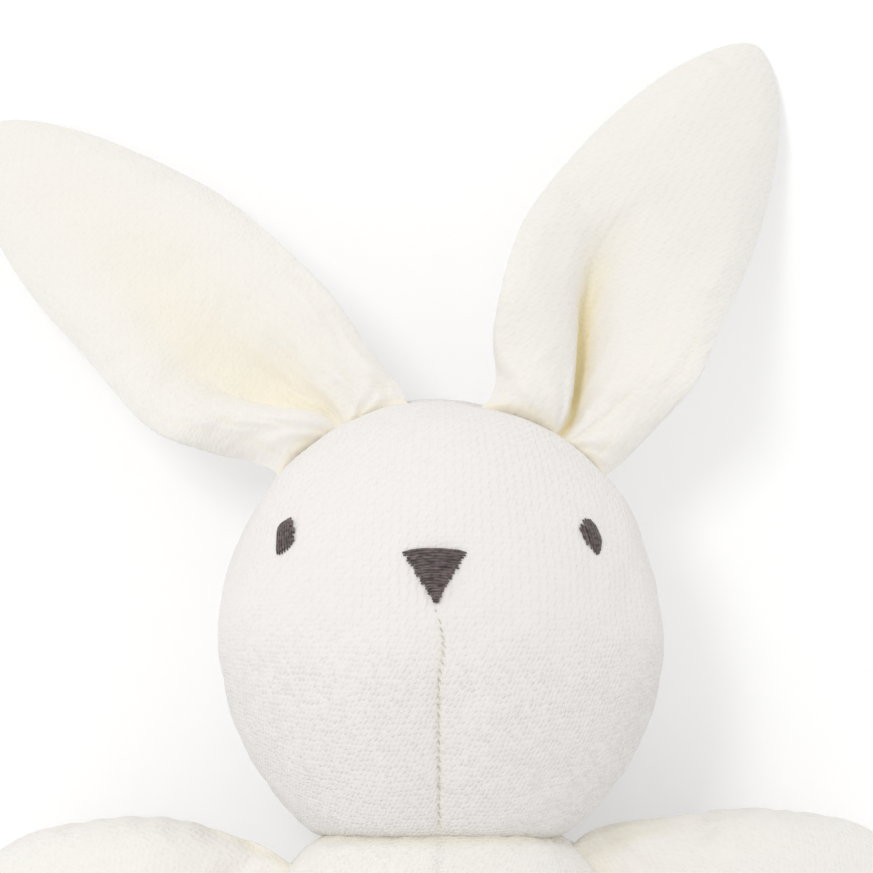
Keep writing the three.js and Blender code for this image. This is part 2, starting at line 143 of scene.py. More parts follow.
class Shader:
    """A material's node tree with short ways to add and join nodes."""

    # The sockets that a mix node uses for colours
    SHARE, FIRST, SECOND, MIXED = 0, 6, 7, 2

    def __init__(self, name: str) -> None:
        """Start an empty material.

        Args:
            name: the material's name.
        """
        self.material = bpy.data.materials.new(name)
        self.material.use_nodes = True
        self.tree = self.material.node_tree
        self.tree.nodes.clear()
        self.output = self.tree.nodes.new("ShaderNodeOutputMaterial")

    def add(
        self, kind: str, inputs: Optional[dict] = None, **settings: object
    ) -> bpy.types.Node:
        """Add a node.

        Args:
            kind: the node's type without its common prefix.
            inputs: values or sockets for its inputs, by name or number.
            settings: properties of the node itself.

        Returns:
            The new node.
        """
        node = self.tree.nodes.new("ShaderNode" + kind)
        for key, value in settings.items():
            setattr(node, key, value)
        for key, value in (inputs or {}).items():
            if isinstance(value, Socket):
                self.tree.links.new(value, node.inputs[key])
            else:
                node.inputs[key].default_value = value
        return node

    def maths(self, operation: str, *values: object) -> Socket:
        """Add a maths node and give its result."""
        return self.add("Math", dict(enumerate(values)), operation=operation).outputs[0]

    def noise(self, place: Socket, scale: float, detail: float) -> Socket:
        """Add a noise texture and give its strength."""
        inputs = {"Vector": place, "Scale": scale, "Detail": detail}
        return self.add("TexNoise", inputs).outputs["Fac"]

    def span(self, *values: object, **settings: object) -> Socket:
        """Map a value from its low and high to another low and high, and give the result."""
        return self.add("MapRange", dict(enumerate(values)), **settings).outputs[0]

    def bump(self, height: Socket, strength: float, distance_mm: float) -> Socket:
        """Add relief of a given depth and give its normal."""
        inputs = {"Height": height, "Strength": strength, "Distance": distance_mm * MM}
        return self.add("Bump", inputs).outputs[0]

    def mix(self, share: object, first: object, second: object) -> Socket:
        """Mix two colours.

        Args:
            share: how much of the second, as a number or socket.
            first: a colour or socket.
            second: a colour or socket.

        Returns:
            The mixed colour.
        """
        inputs = {self.SHARE: share}
        for index, value in ((self.FIRST, first), (self.SECOND, second)):
            inputs[index] = value if isinstance(value, Socket) else (*value, 1.0)
        return self.add("Mix", inputs, data_type="RGBA").outputs[self.MIXED]

    def finish(self, surface: bpy.types.Node) -> bpy.types.Material:
        """Send a shader to the output and give the material."""
        self.tree.links.new(surface.outputs[0], self.output.inputs["Surface"])
        return self.material


@dataclass(frozen=True)
class Velour:
    """Ribbed stretch velour: rows of short loops along the wales, with painted shade in the pile's
    valleys and a golden painted shade in folds and creases.
    """

    name: str
    pile: Colour
    shade: Colour
    # The colour of the golden painted shade in folds, creases and seams
    fold: Colour
    wale_mm: float = 1.45
    wale_relief: float = 0.05
    drift_scale: float = 260.0
    sway_mm: float = 0.9
    loop_mm: tuple[float, float] = (0.84, 0.84)
    loop_lean: float = -0.45
    loop_scatter: float = 0.45
    loop_softness: float = 0.4
    loop_reach: float = 0.7
    loop_level: float = 0.8
    loop_unevenness: float = 0.45
    tuft: float = 0.9
    fuzz: float = 0.35
    fuzz_scale: float = 1500.0
    ground: float = -0.7
    loose_tuft: float = 0.6
    combed_tuft: float = 0.13
    relief_mm: float = 0.46
    deep: tuple[float, float] = (-0.4, 0.1)
    deep_wear: float = 0.25
    lump_scale: float = 70.0
    lump_wear: float = 0.5
    unworn: float = 0.4
    roughness: float = 0.95
    shine: float = 0.15
    sheen: float = 0.35
    sheen_roughness: float = 0.5

    def loops(self, s: Shader, across: Socket, along: Socket) -> Socket:
        """Stand the loops side by side, some taller than others.

        Args:
            s: the material's nodes.
            across: places across the loops, in millimetres.
            along: places along them.

        Returns:
            How high the loops stand, from 0 between them.
        """
        cell = s.add(
            "CombineXYZ",
            {
                0: s.maths("DIVIDE", across, self.loop_mm[0]),
                1: s.maths("DIVIDE", along, self.loop_mm[1]),
            },
        )
        loops = s.add(
            "TexVoronoi",
            {
                "Vector": cell.outputs[0],
                "Scale": 1.0,
                "Smoothness": self.loop_softness,
                "Randomness": self.loop_scatter,
            },
            voronoi_dimensions="2D",
            feature="SMOOTH_F1",
        ).outputs
        tall = s.add("SeparateColor", {0: loops["Color"]}).outputs[0]
        lowest = self.loop_level - self.loop_unevenness / 2
        tall = s.maths("MULTIPLY_ADD", tall, self.loop_unevenness, lowest)
        round_top = s.span(
            loops["Distance"], 0.0, self.loop_reach, 1.0, 0.0, interpolation_type="SMOOTHSTEP"
        )
        return s.maths("MULTIPLY", round_top, tall)

    def relief(self, s: Shader, place: Socket) -> Socket:
        """Raise the pile: loops where it is loose, and faint ribs where it is combed flat.

        Args:
            s: the material's nodes.
            place: places on the piece.

        Returns:
            The height, as a share of the whole relief.
        """
        weave = s.add("Attribute", attribute_name="weave").outputs["Vector"]
        across, along, loose = s.add("SeparateXYZ", {0: weave}).outputs
        drift = s.noise(place, self.drift_scale, 2.0)
        sway = s.maths("MULTIPLY_ADD", drift, self.sway_mm, -self.sway_mm / 2)
        swayed = s.maths("ADD", across, sway)
        rib = s.maths("SINE", s.maths("MULTIPLY", swayed, 2 * math.pi / self.wale_mm))
        slant = s.maths("MULTIPLY_ADD", along, self.loop_lean, swayed)
        tuft = self.loops(s, slant, s.maths("ADD", along, sway))
        standing = s.maths("MULTIPLY_ADD", tuft, self.tuft, self.ground)
        fuzz = s.noise(place, self.fuzz_scale, 3.0)
        standing = s.maths("MULTIPLY_ADD", fuzz, self.fuzz, standing)
        flattened = s.maths("MULTIPLY", standing, self.combed_tuft)
        combed = s.maths("MULTIPLY_ADD", rib, self.wale_relief, flattened)
        combed = s.maths("MULTIPLY", combed, s.maths("SUBTRACT", 1.0, loose))
        standing = s.maths("MULTIPLY", s.maths("MULTIPLY", standing, self.loose_tuft), loose)
        return s.maths("ADD", standing, combed)

    def material(self) -> bpy.types.Material:
        """Make the material from the piece's weave attribute and from the attribute that holds its
        painted shade in folds and creases.

        Returns:
            The material.
        """
        s = Shader(self.name)
        place = s.add("TexCoord").outputs["Object"]
        height = self.relief(s, place)
        # Painted shade: the pile is darker where its relief is low, between the loops, mixed with a
        # random tone from the lumps noise
        depth = s.span(height, *self.deep, 1.0, 0.0)
        shade_and_tone = s.maths("MULTIPLY_ADD", depth, self.deep_wear, -self.unworn)
        lumps = s.noise(place, self.lump_scale, 3.0)
        shade_and_tone = s.maths("MULTIPLY_ADD", lumps, self.lump_wear, shade_and_tone)
        ground = s.mix(s.maths("MAXIMUM", shade_and_tone, 0.0), self.pile, self.shade)
        # Painted shade: a golden darkening laid into folds, creases and seams, where the real cloth
        # takes shade and warm bounced light
        fold = s.add("Attribute", attribute_name="fold").outputs["Fac"]
        surface = s.add(
            "BsdfPrincipled",
            {
                "Base Color": s.mix(fold, ground, self.fold),
                "Roughness": self.roughness,
                "Specular IOR Level": self.shine,
                "Sheen Weight": self.sheen,
                "Sheen Roughness": self.sheen_roughness,
                "Normal": s.bump(height, 1.0, self.relief_mm),
            },
        )
        return s.finish(surface)


@dataclass(frozen=True)
class Thread:
    """Twisted thread with a soft shine and a little unevenness from strand to strand."""

    name: str
    light: Colour
    dark: Colour
    roughness: float = 0.55
    grain: Triple = (900.0, 2100.0, 1200.0)
    grain_range: tuple[float, float] = (0.35, 0.65)
    twist_scale: float = 3800.0
    twist_mm: float = 0.08
    sheen: float = 0.2

    def material(self) -> bpy.types.Material:
        """Make the material.

        Returns:
            The material.
        """
        s = Shader(self.name)
        place = s.add("TexCoord").outputs["Object"]
        stretch = s.add("Mapping", {"Vector": place, "Scale": self.grain}).outputs[0]
        share = s.span(s.noise(stretch, 1.0, 3.0), *self.grain_range, 0.0, 1.0)
        surface = s.add(
            "BsdfPrincipled",
            {
                "Base Color": s.mix(share, self.dark, self.light),
                "Roughness": self.roughness,
                "Sheen Weight": self.sheen,
                "Normal": s.bump(s.noise(place, self.twist_scale, 1.0), 0.5, self.twist_mm),
            },
        )
        return s.finish(surface)


@dataclass(frozen=True)
class Moulding:
    """Moulded plastic with a faint flow grain."""

    name: str
    light: Colour
    dark: Colour
    roughness: float = 0.4
    flow_scale: float = 160.0
    flow_mm: float = 0.05

    def material(self) -> bpy.types.Material:
        """Make the material.

        Returns:
            The material.
        """
        s = Shader(self.name)
        flow = s.noise(s.add("TexCoord").outputs["Object"], self.flow_scale, 4.0)
        surface = s.add(
            "BsdfPrincipled",
            {
                "Base Color": s.mix(flow, self.light, self.dark),
                "Roughness": self.roughness,
                "Normal": s.bump(flow, 0.15, self.flow_mm),
            },
        )
        return s.finish(surface)


HEAD_VELOUR = Velour(
    "head velour", (0.858, 0.828, 0.804), (0.775, 0.745, 0.715), (0.82, 0.78, 0.64), wale_relief=0.1
)
BODY_VELOUR = Velour("body velour", (0.90, 0.875, 0.83), (0.79, 0.765, 0.71), (0.86, 0.79, 0.58))
EAR_VELOUR = Velour("ear velour", (0.872, 0.846, 0.8), (0.80, 0.775, 0.72), (0.95, 0.83, 0.46))
DARK_THREAD = Thread("nose thread", (0.165, 0.122, 0.12), (0.04, 0.027, 0.029))
PALE_THREAD = Thread("seam thread", (0.74, 0.72, 0.63), (0.50, 0.48, 0.40), 0.7)
CAPSULE = Moulding("capsule shell", (0.80, 0.84, 0.86), (0.72, 0.77, 0.80))
BEAD = Moulding("bead", (0.35, 0.37, 0.40), (0.28, 0.30, 0.33), 0.25)


# Meshes


def positions(mesh: bpy.types.Mesh) -> Array:
    """Read the places of a mesh's vertices.

    Args:
        mesh: the mesh to read.

    Returns:
        One row for each vertex.
    """
    flat = np.empty(len(mesh.vertices) * 3)
    mesh.vertices.foreach_get("co", flat)
    return flat.reshape(-1, 3)


def set_positions(mesh: bpy.types.Mesh, points: Array) -> None:
    """Put a mesh's vertices at new places, one row each."""
    mesh.vertices.foreach_set("co", np.ascontiguousarray(points, dtype=float).ravel())
    mesh.update()


def set_attribute(mesh: bpy.types.Mesh, name: str, values: Array) -> None:
    """Store one number or vector for each vertex.

    Args:
        mesh: the mesh that carries the values.
        name: the attribute's name.
        values: one number, or one row of three, for each vertex.
    """
    vector = values.ndim == 2
    layer = mesh.attributes.new(name, "FLOAT_VECTOR" if vector else "FLOAT", "POINT")
    layer.data.foreach_set("vector" if vector else "value", values.astype(np.float32).ravel())


def shade_smooth(mesh: bpy.types.Mesh) -> None:
    """Shade every face of a mesh as part of a curve."""
    mesh.polygons.foreach_set("use_smooth", np.ones(len(mesh.polygons), dtype=bool))


def show(name: str, data: bpy.types.ID) -> bpy.types.Object:
    """Put a mesh, curve, lamp or camera into the scene as an object.

    Args:
        name: the object's name.
        data: what it holds.

    Returns:
        The new object.
    """
    shown = bpy.data.objects.new(name, data)
    bpy.context.scene.collection.objects.link(shown)
    return shown


def quad_ball(name: str, steps: int) -> bpy.types.Object:
    """Make a ball of radius 1 from a finely divided cube, so that its quads are even.

    Args:
        name: the object's name.
        steps: divisions along each cube edge, even so that loops run through the middle.

    Returns:
        The new object.
    """
    work = bmesh.new()
    bmesh.ops.create_cube(work, size=2.0)
    bmesh.ops.subdivide_edges(work, edges=work.edges[:], cuts=steps - 1, use_grid_fill=True)
    mesh = bpy.data.meshes.new(name)
    work.to_mesh(mesh)
    work.free()
    cube = np.tan(positions(mesh) * math.pi / 4)
    set_positions(mesh, cube / np.linalg.norm(cube, axis=1, keepdims=True))
    return show(name, mesh)


def close_rows(ball: Array, tight: float = 0.55, reach: float = 0.1) -> Array:
    """Bring the rows of a ball closer to the seam round its rim, where the panels meet.

    Args:
        ball: points of the unit ball.
        tight: how much closer the nearest rows come, from 0 to 1.
        reach: how far from the rim this is felt.

    Returns:
        The moved points, still on the ball.
    """
    z = ball[:, 2] * (1 - tight * bell(ball[:, 2], reach))
    flat = np.sqrt((1 - z * z) / np.maximum(1 - ball[:, 2] ** 2, TINY))
    return np.stack([ball[:, 0] * flat, ball[:, 1] * flat, z], axis=1)


def ring_of(ball: Array) -> Array:
    """How far points of the unit ball lie from its long axis."""
    return np.maximum(np.hypot(ball[:, 0], ball[:, 2]), TINY)


@dataclass(frozen=True)
class Rim:
    """The groove round a piece, where its front and back panels are sewn together."""

    depth: float
    width: float
    hold: float

    def held(self, ball: Array, closed: Array) -> Array:
        """How firmly the rim and another closed seam hold the cover, from 0 to 1."""
        return np.maximum(bell(ball[:, 2], self.hold), closed)

    def press(
        self, mesh: bpy.types.Mesh, points: Array, off: Array, share: Array | float = 1.0
    ) -> Array:
        """Press the groove in along the surface's own normals.

        Args:
            mesh: the piece's mesh, for its faces.
            points: its vertices.
            off: how far each one lies from the rim.
            share: how much of the groove each one gets, from 0 to 1.

        Returns:
            The pressed vertices.
        """
        set_positions(mesh, points)
        normals = np.empty(len(points) * 3)
        mesh.vertex_normals.foreach_get("vector", normals)
        depth = self.depth * (spike(off, self.width) * share)
        return points - normals.reshape(-1, 3) * depth[:, None]


def panel_weave(ball: Array, radius: float, loose: Array) -> Array:
    """Fabric coordinates of a front and a back panel, flattened from the middle of each.

    Args:
        ball: points of the unit ball.
        radius: the stuffed panel's radius in millimetres.
        loose: how far the loops stand loose at each point, from 0 to 1.

    Returns:
        Places across and along in millimetres, and the looseness.
    """
    polar = np.arccos(np.clip(np.abs(ball[:, 2]), 0, 1))
    reach = polar * radius / np.maximum(np.hypot(ball[:, 0], ball[:, 1]), 1e-6)
    return np.stack([ball[:, 0] * reach, ball[:, 1] * reach, loose], axis=1)


@dataclass(frozen=True)
class Stuffing:
    """How hard a sewn cover is blown up as cloth, and how far it may move."""

    growth: float
    cap_mm: float
    pressure: float = 4.0
    frames: int = 16
    quality: int = 6
    enlarge: float = 20.0

    def fill(self, mesh: bpy.types.Mesh, points: Array, held: Array) -> Array:
        """Blow a cover up as cloth.

        Args:
            mesh: the cover, for its faces.
            points: its vertices in millimetres.
            held: how firmly each vertex is sewn down, from 0 to 1.

        Returns:
            The swollen vertices in millimetres.
        """
        scene = bpy.context.scene
        trial = show("trial", mesh.copy())
        set_positions(trial.data, points * MM * self.enlarge)
        group = trial.vertex_groups.new(name="held")
        for level in np.unique(np.round(held, 1)):
            rows = np.flatnonzero(np.round(held, 1) == level)
            group.add(rows.tolist(), float(level), "REPLACE")
        cloth = trial.modifiers.new("cloth", "CLOTH")
        cloth.settings.quality = self.quality
        cloth.settings.vertex_group_mass = "held"
        cloth.settings.use_pressure = True
        cloth.settings.uniform_pressure_force = self.pressure
        cloth.settings.shrink_min = -self.growth
        cloth.settings.effector_weights.gravity = 0.0
        cloth.collision_settings.use_collision = False
        cloth.point_cache.frame_end = self.frames
        for number in range(1, self.frames + 1):
            scene.frame_set(number)
        graph = bpy.context.evaluated_depsgraph_get()
        moved = positions(trial.evaluated_get(graph).data) / (MM * self.enlarge) - points
        scene.frame_set(1)
        spare = trial.data
        bpy.data.objects.remove(trial)
        bpy.data.meshes.remove(spare)
        reach = np.linalg.norm(moved, axis=1, keepdims=True)
        log.info("cloth moved up to %.2f mm", reach.max())
        return points + moved * np.minimum(1.0, self.cap_mm / np.maximum(reach, TINY))


def lay_on_table(points: Array, ease: float = 1.2, clear: float = 0.05) -> Array:
    """Flatten what would dip below the table, with a soft edge.

    Args:
        points: vertices in millimetres.
        ease: the height over which the edge of the flat is rounded.
        clear: how far the flat stays off the table.

    Returns:
        The vertices with none below the table.
    """
    points = points.copy()
    points[:, 2] = clear + ease * np.logaddexp(0, (points[:, 2] - ease) / ease)
    return points


def dress(
    piece: bpy.types.Object,
    points: Array,
    weave: Array,
    fold: Array,
    material: bpy.types.Material,
) -> None:
    """Finish a stuffed piece: place its vertices, store its weave and smooth it.

    Args:
        piece: the object to finish.
        points: its vertices in millimetres, in the frame.
        weave: fabric coordinates in millimetres, one row each.
        fold: how much golden painted shade each vertex gets in folds and creases, from 0 to 1.
        material: its finish.
    """
    set_positions(piece.data, points * MM)
    set_attribute(piece.data, "weave", weave)
    set_attribute(piece.data, "fold", fold)
    piece.data.materials.append(material)
    shade_smooth(piece.data)
    finer = piece.modifiers.new("smoother cloth", "SUBSURF")
    finer.levels = 1
    finer.render_levels = 1


@dataclass(frozen=True)
class Strands:
    """Stitches laid as round strands that thin at their ends."""

    radius: float
    end_share: float = 0.55

    def lay(
        self, name: str, runs: Iterable[Sequence[Vector]], material: bpy.types.Material
    ) -> bpy.types.Object:
        """Lay every stitch of a piece.

        Args:
            name: the piece's name.
            runs: the points that each stitch runs through, in millimetres.
            material: its finish.

        Returns:
            One mesh object with every stitch in it.
        """
        curve = bpy.data.curves.new(name, "CURVE")
        curve.dimensions = "3D"
        curve.bevel_depth = self.radius * MM
        curve.bevel_resolution = 1
        curve.use_fill_caps = True
        for run in runs:
            spline = curve.splines.new("POLY")
            spline.points.add(len(run) - 1)
            for index, (point, place) in enumerate(zip(spline.points, run)):
                point.co = (*(place * MM), 1.0)
                point.radius = self.end_share if index in (0, len(run) - 1) else 1.0
        path = show(name + "_path", curve)
        graph = bpy.context.evaluated_depsgraph_get()
        mesh = bpy.data.meshes.new_from_object(path.evaluated_get(graph))
        bpy.data.objects.remove(path)
        bpy.data.curves.remove(curve)
        mesh.name = name
        mesh.materials.clear()
        mesh.materials.append(material)
        shade_smooth(mesh)
        return show(name, mesh)


class Skin:
    """The finished surface of a piece, for laying stitches on."""

    def __init__(self, piece: bpy.types.Object) -> None:
        """Measure a piece as it renders."""
        graph = bpy.context.evaluated_depsgraph_get()
        self.tree = BVHTree.FromObject(piece, graph)

    def above(self, x: float, y: float, lift: float = 0.0) -> Vector:
        """Find the highest point over a place on the table.

        Args:
            x: across, in millimetres.
            y: along, in millimetres.
            lift: how far to stand off the surface.

        Returns:
            The point in millimetres.
        """
        start = Vector((x * MM, y * MM, 1.0))
        place, normal, _, _ = self.tree.ray_cast(start, Vector((0, 0, -1)))
        if place is None:
            raise ValueError(f"nothing lies over {x:.1f}, {y:.1f}")
        return (place / MM) + normal * lift


# The bunny's parts


@dataclass
class Head:
    """The stuffed head: an oval closed at the neck and drawn in along a dart below the nose."""

    half_width: float = 34.5
    half_height: float = 37.0
    half_depth: float = 30.0
    room: Triple = (0.4, 0.5, 0.3)
    neck_drop: float = 30.7
    neck_gap: float = 0.15
    neck_tuck: float = 0.5
    neck_round: float = 0.6
    neck_stretch: float = 16.0
    neck_tint: float = 0.7
    rim: Rim = Rim(depth=0.45, width=0.6, hold=0.03)
    dart_top: float = 4.6
    dart_line: float = -0.4
    dart_wander: float = 0.8
    dart_drift: float = 0.1
    dart_depth: float = 0.75
    dart_width: float = 0.55
    dart_hollow: float = 0.7
    dart_tint: float = 0.45
    cheek_rise: float = 0.5
    cheek_at: float = 9.0
    cheek_spread: float = 6.0
    combed: float = 0.2
    weave_radius: float = 34.0
    steps: int = 48
    lumps: tuple[Lump, ...] = (Lump(0.35, 17, 5), Lump(0.1, 6, 6))
    stuffing: Stuffing = Stuffing(growth=0.015, cap_mm=0.8)

    def __post_init__(self) -> None:
        """Find the head's centre from the neck joint."""
        _, self.neck_y, neck_z = (value / MM for value in JOINTS["head_turn"]["pos_m"])
        self.centre = np.array([0.0, self.neck_y + self.neck_gap + self.neck_drop, neck_z])

    @property
    def neck(self) -> tuple[Vector, Vector]:
        """Two points on the neck's line, at the neck joint and neck_stretch further towards the
        head, in metres.
        """
        start = Vector((0, self.neck_y, self.centre[2])) * MM
        return start, start + Vector((0, self.neck_stretch * MM, 0))

    def dart_at(self, y: Array) -> Array:
        """How far the dart wanders sideways at heights above the head's centre."""
        wander = self.dart_wander * bell(y + 0.5, 3.4)
        return self.dart_line + wander + self.dart_drift * smooth(-y, 4, 26)

    def gather(self, ball: Array) -> Array:
        """Slide the ball's front columns towards the dart, keeping them on the ball.

        Args:
            ball: points of the unit ball.

        Returns:
            The same points, closer together along the dart.
        """
        line = self.dart_at(ball[:, 1] * self.half_height) / self.half_width
        x = draw_in(ball[:, 0], line, 0.7, 0.16)
        x = ball[:, 0] + smooth(ball[:, 2], 0.2, 0.5) * (x - ball[:, 0])
        z = np.sqrt(np.clip(1 - x * x - ball[:, 1] ** 2, 0, None)) * np.sign(ball[:, 2])
        return np.stack([x, ball[:, 1], np.where(ball[:, 2] > 0.2, z, ball[:, 2])], axis=1)

    def form(self, ball: Array) -> Array:
        """Turn a unit ball into the head, about the head's centre.

        Args:
            ball: points of the unit ball.

        Returns:
            The points in millimetres.
        """
        sizes = (self.half_width, self.half_height, self.half_depth)
        points = ball * np.subtract(sizes, self.room)
        floor, ease = -self.neck_drop - self.neck_tuck, self.neck_round
        points[:, 1] = floor + ease * np.logaddexp(0, (points[:, 1] - floor) / ease)
        return points

    def detail(self, points: Array, ball: Array) -> tuple[Array, Array]:
        """Sew in the dart and add the stuffing's unevenness.

        Args:
            points: the stuffed head about its centre.
            ball: the same points on the unit ball.

        Returns:
            The detailed points, and how deep in the dart each one lies.
        """
        y = points[:, 1]
        off = points[:, 0] - self.dart_at(y)
        run = smooth(-y, -self.dart_top, -self.dart_top + 5) * smooth(ball[:, 2], 0.0, 0.35)
        run *= smooth(y + self.neck_drop, 0.0, 3.0)
        cut = self.dart_depth * spike(off, self.dart_width)
        cut = cut + self.dart_hollow * bell(off, self.cheek_spread)
        cut -= self.cheek_rise * bell(np.abs(off) - self.cheek_at, self.cheek_spread)
        # The thread is tightest past halfway down and eases off towards the nose and the neck
        pull = run * cut * (0.6 + 0.4 * smooth(-y, 0, 16)) * (1 - 0.5 * smooth(-y, 22, 30))
        lumps = sum(lump.at(points) for lump in self.lumps)
        return points + ball * (lumps - pull)[:, None], run * spike(off, 0.5)

    def build(self, material: bpy.types.Material) -> bpy.types.Object:
        """Make the head and fit it to the frame.

        Args:
            material: its velour.

        Returns:
            The head piece.
        """
        piece = quad_ball("head_plush", self.steps)
        ball = self.gather(close_rows(positions(piece.data)))
        points = self.form(ball)
        closed = smooth(-points[:, 1], self.neck_drop - 1, self.neck_drop)
        points = self.stuffing.fill(piece.data, points, self.rim.held(ball, closed))
        points, sewn = self.detail(points, ball)
        points = self.rim.press(piece.data, points, ball[:, 2] * self.half_depth)
        points = lay_on_table(points + self.centre)
        tucked = smooth(self.neck_y + 0.8 - points[:, 1], 0, 1.0)
        # Painted shade: golden darkening where the head tucks into the neck and along the chin
        # dart's groove
        fold = np.maximum(self.neck_tint * tucked, self.dart_tint * sewn)
        loose = self.combed + (1 - self.combed) * smooth(-ball[:, 1], -0.2, 0.22)
        dress(piece, points, panel_weave(ball, self.weave_radius, loose), fold, material)
        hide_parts("head_face_panel", "head_back_panel", "head_stuffing")
        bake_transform(piece)
        return piece


@dataclass
class Seat:
    """Where a limb or ear hangs: its hinge in the frame, and how far it droops to the table."""

    joint: str
    droop: float
    root: float = 2.4
    flex_from: float = -2.0
    flex_to: float = 9.0

    def __post_init__(self) -> None:
        """Find the hinge and its directions."""
        told = JOINTS[self.joint]
        self.hinge = np.array(told["pos_m"]) / MM
        across = np.array(told["axis"], float)
        out = np.array([-across[1], across[0], 0.0])
        fall = math.radians(self.droop)
        along = out * math.cos(fall) - np.array([0, 0, math.sin(fall)])
        self.axes = np.stack([across, along, np.cross(across, along)])

    @property
    def bearing(self) -> float:
        """The seat's outward bearing in degrees clockwise from +Y."""
        return math.degrees(math.atan2(-self.axes[0][1], self.axes[0][0]))

    def place(self, local: Array) -> Array:
        """Carry points from the limb's own frame, with +Y along it, to the frame."""
        return self.hinge + local @ self.axes

    def at(self, along: float) -> Vector:
        """A point on the limb's middle line, in metres."""
        return Vector(self.place(np.array([[0.0, along, 0.0]]))[0]) * MM

    @property
    def flex(self) -> tuple[Vector, Vector]:
        """Two points on the middle line, at flex_from and at flex_to from the hinge, in metres."""
        return self.at(self.flex_from), self.at(self.flex_to)


def swing(
    points: Array, degrees: float, over: float, ease: float = 1e-3, steps: int = 400
) -> Array:
    """Curve points sideways in their own plane from the hinge onwards.

    Args:
        points: places with +Y along the limb.
        degrees: the whole turn towards +X.
        over: the length that the turn takes.
        ease: the length over which the bend fades into the straight.
        steps: how finely the bend is followed.

    Returns:
        The curved points.
    """
    stations = np.linspace(0, over + ease / 2, steps)
    step = stations[1]
    bend = np.clip((over + ease / 2 - stations) / ease, 0, 1)
    turns = np.concatenate([[0.0], np.cumsum(bend[1:] + bend[:-1])])
    turns *= math.radians(degrees) / turns[-1]
    middle = (turns[1:] + turns[:-1]) / 2
    sideways = np.concatenate([[0.0], np.cumsum(np.sin(middle))]) * step
    onwards = np.concatenate([[0.0], np.cumsum(np.cos(middle))]) * step
    along = np.clip(points[:, 1], 0, stations[-1])
    turn = np.interp(along, stations, turns)
    past = points[:, 1] - along
    sine, cosine = np.sin(turn), np.cos(turn)
    curved = points.copy()
    curved[:, 0] = np.interp(along, stations, sideways) + past * sine + points[:, 0] * cosine
    curved[:, 1] = np.interp(along, stations, onwards) + past * cosine - points[:, 0] * sine
    return curved


@dataclass(frozen=True)
class Leaf:
    """The flat pattern of a limb or ear, narrow at its root, and how thick it is stuffed."""

    length: float
    half_width: float
    root_half_width: float
    widest_at: float
    half_depth: float
    swell: float
    taper: float
    bury: float = 3.0
    root_half_depth: float = 1.0
    root_length: float = 2.4
    root_close: float = 0.3
    root_curve: float = 1.6
    sewn_length: float = 4.0
    fill_power: float = 0.8

    def width(self, s: Array) -> Array:
        """Measure the pattern.

        Args:
            s: distances from the root seam.

        Returns:
            Half the width there.
        """
        short = np.abs(1 - np.clip(s, 0, None) / self.widest_at) ** self.root_curve
        near = self.half_width - (self.half_width - self.root_half_width) * short
        far = (s - self.widest_at) / (self.length - self.widest_at)
        tip = self.half_width * np.clip(1 - np.clip(far, 0, 1) ** 2, 0, None) ** self.taper
        return np.where(s < self.widest_at, near, tip)

    def depth(self, s: Array) -> Array:
        """Measure the stuffing.

        Args:
            s: distances from the root seam.

        Returns:
            Half the thickness there.
        """
        full = self.half_depth * (self.width(s) / self.half_width) ** self.fill_power
        filled = smooth(s, 0.0, self.root_length + self.swell)
        return self.root_half_depth + (full - self.root_half_depth) * filled

    def reach(self, ball: Array) -> Array:
        """Distances from the root seam for points of the unit ball."""
        return -self.bury + (self.length + self.bury) * (1 + ball[:, 1]) / 2

    def sewn(self, s: Array) -> Array:
        """How firmly the root is sewn down at distances from its seam, from 0 to 1."""
        return smooth(-s, -self.sewn_length, 0)

    def closing(self, ball: Array) -> Array:
        """How far the sewn-in root end has closed, from 0 at its middle to 1 on the sides."""
        ring = np.hypot(ball[:, 0], ball[:, 2])
        return np.where(ball[:, 1] < 0, np.clip(ring / self.root_close, 0, 1), 1.0)

    def form(self, ball: Array) -> tuple[Array, Array, Array]:
        """Turn a unit ball into the leaf, flat and straight.

        Args:
            ball: points of the unit ball.

        Returns:
            Places across, distances from the root seam, and heights, in millimetres.
        """
        ring = ring_of(ball)
        s, closing = self.reach(ball), self.closing(ball)
        across = self.width(s) * ball[:, 0] / ring * closing
        height = self.depth(s) * ball[:, 2] / ring * closing
        return across, s, height


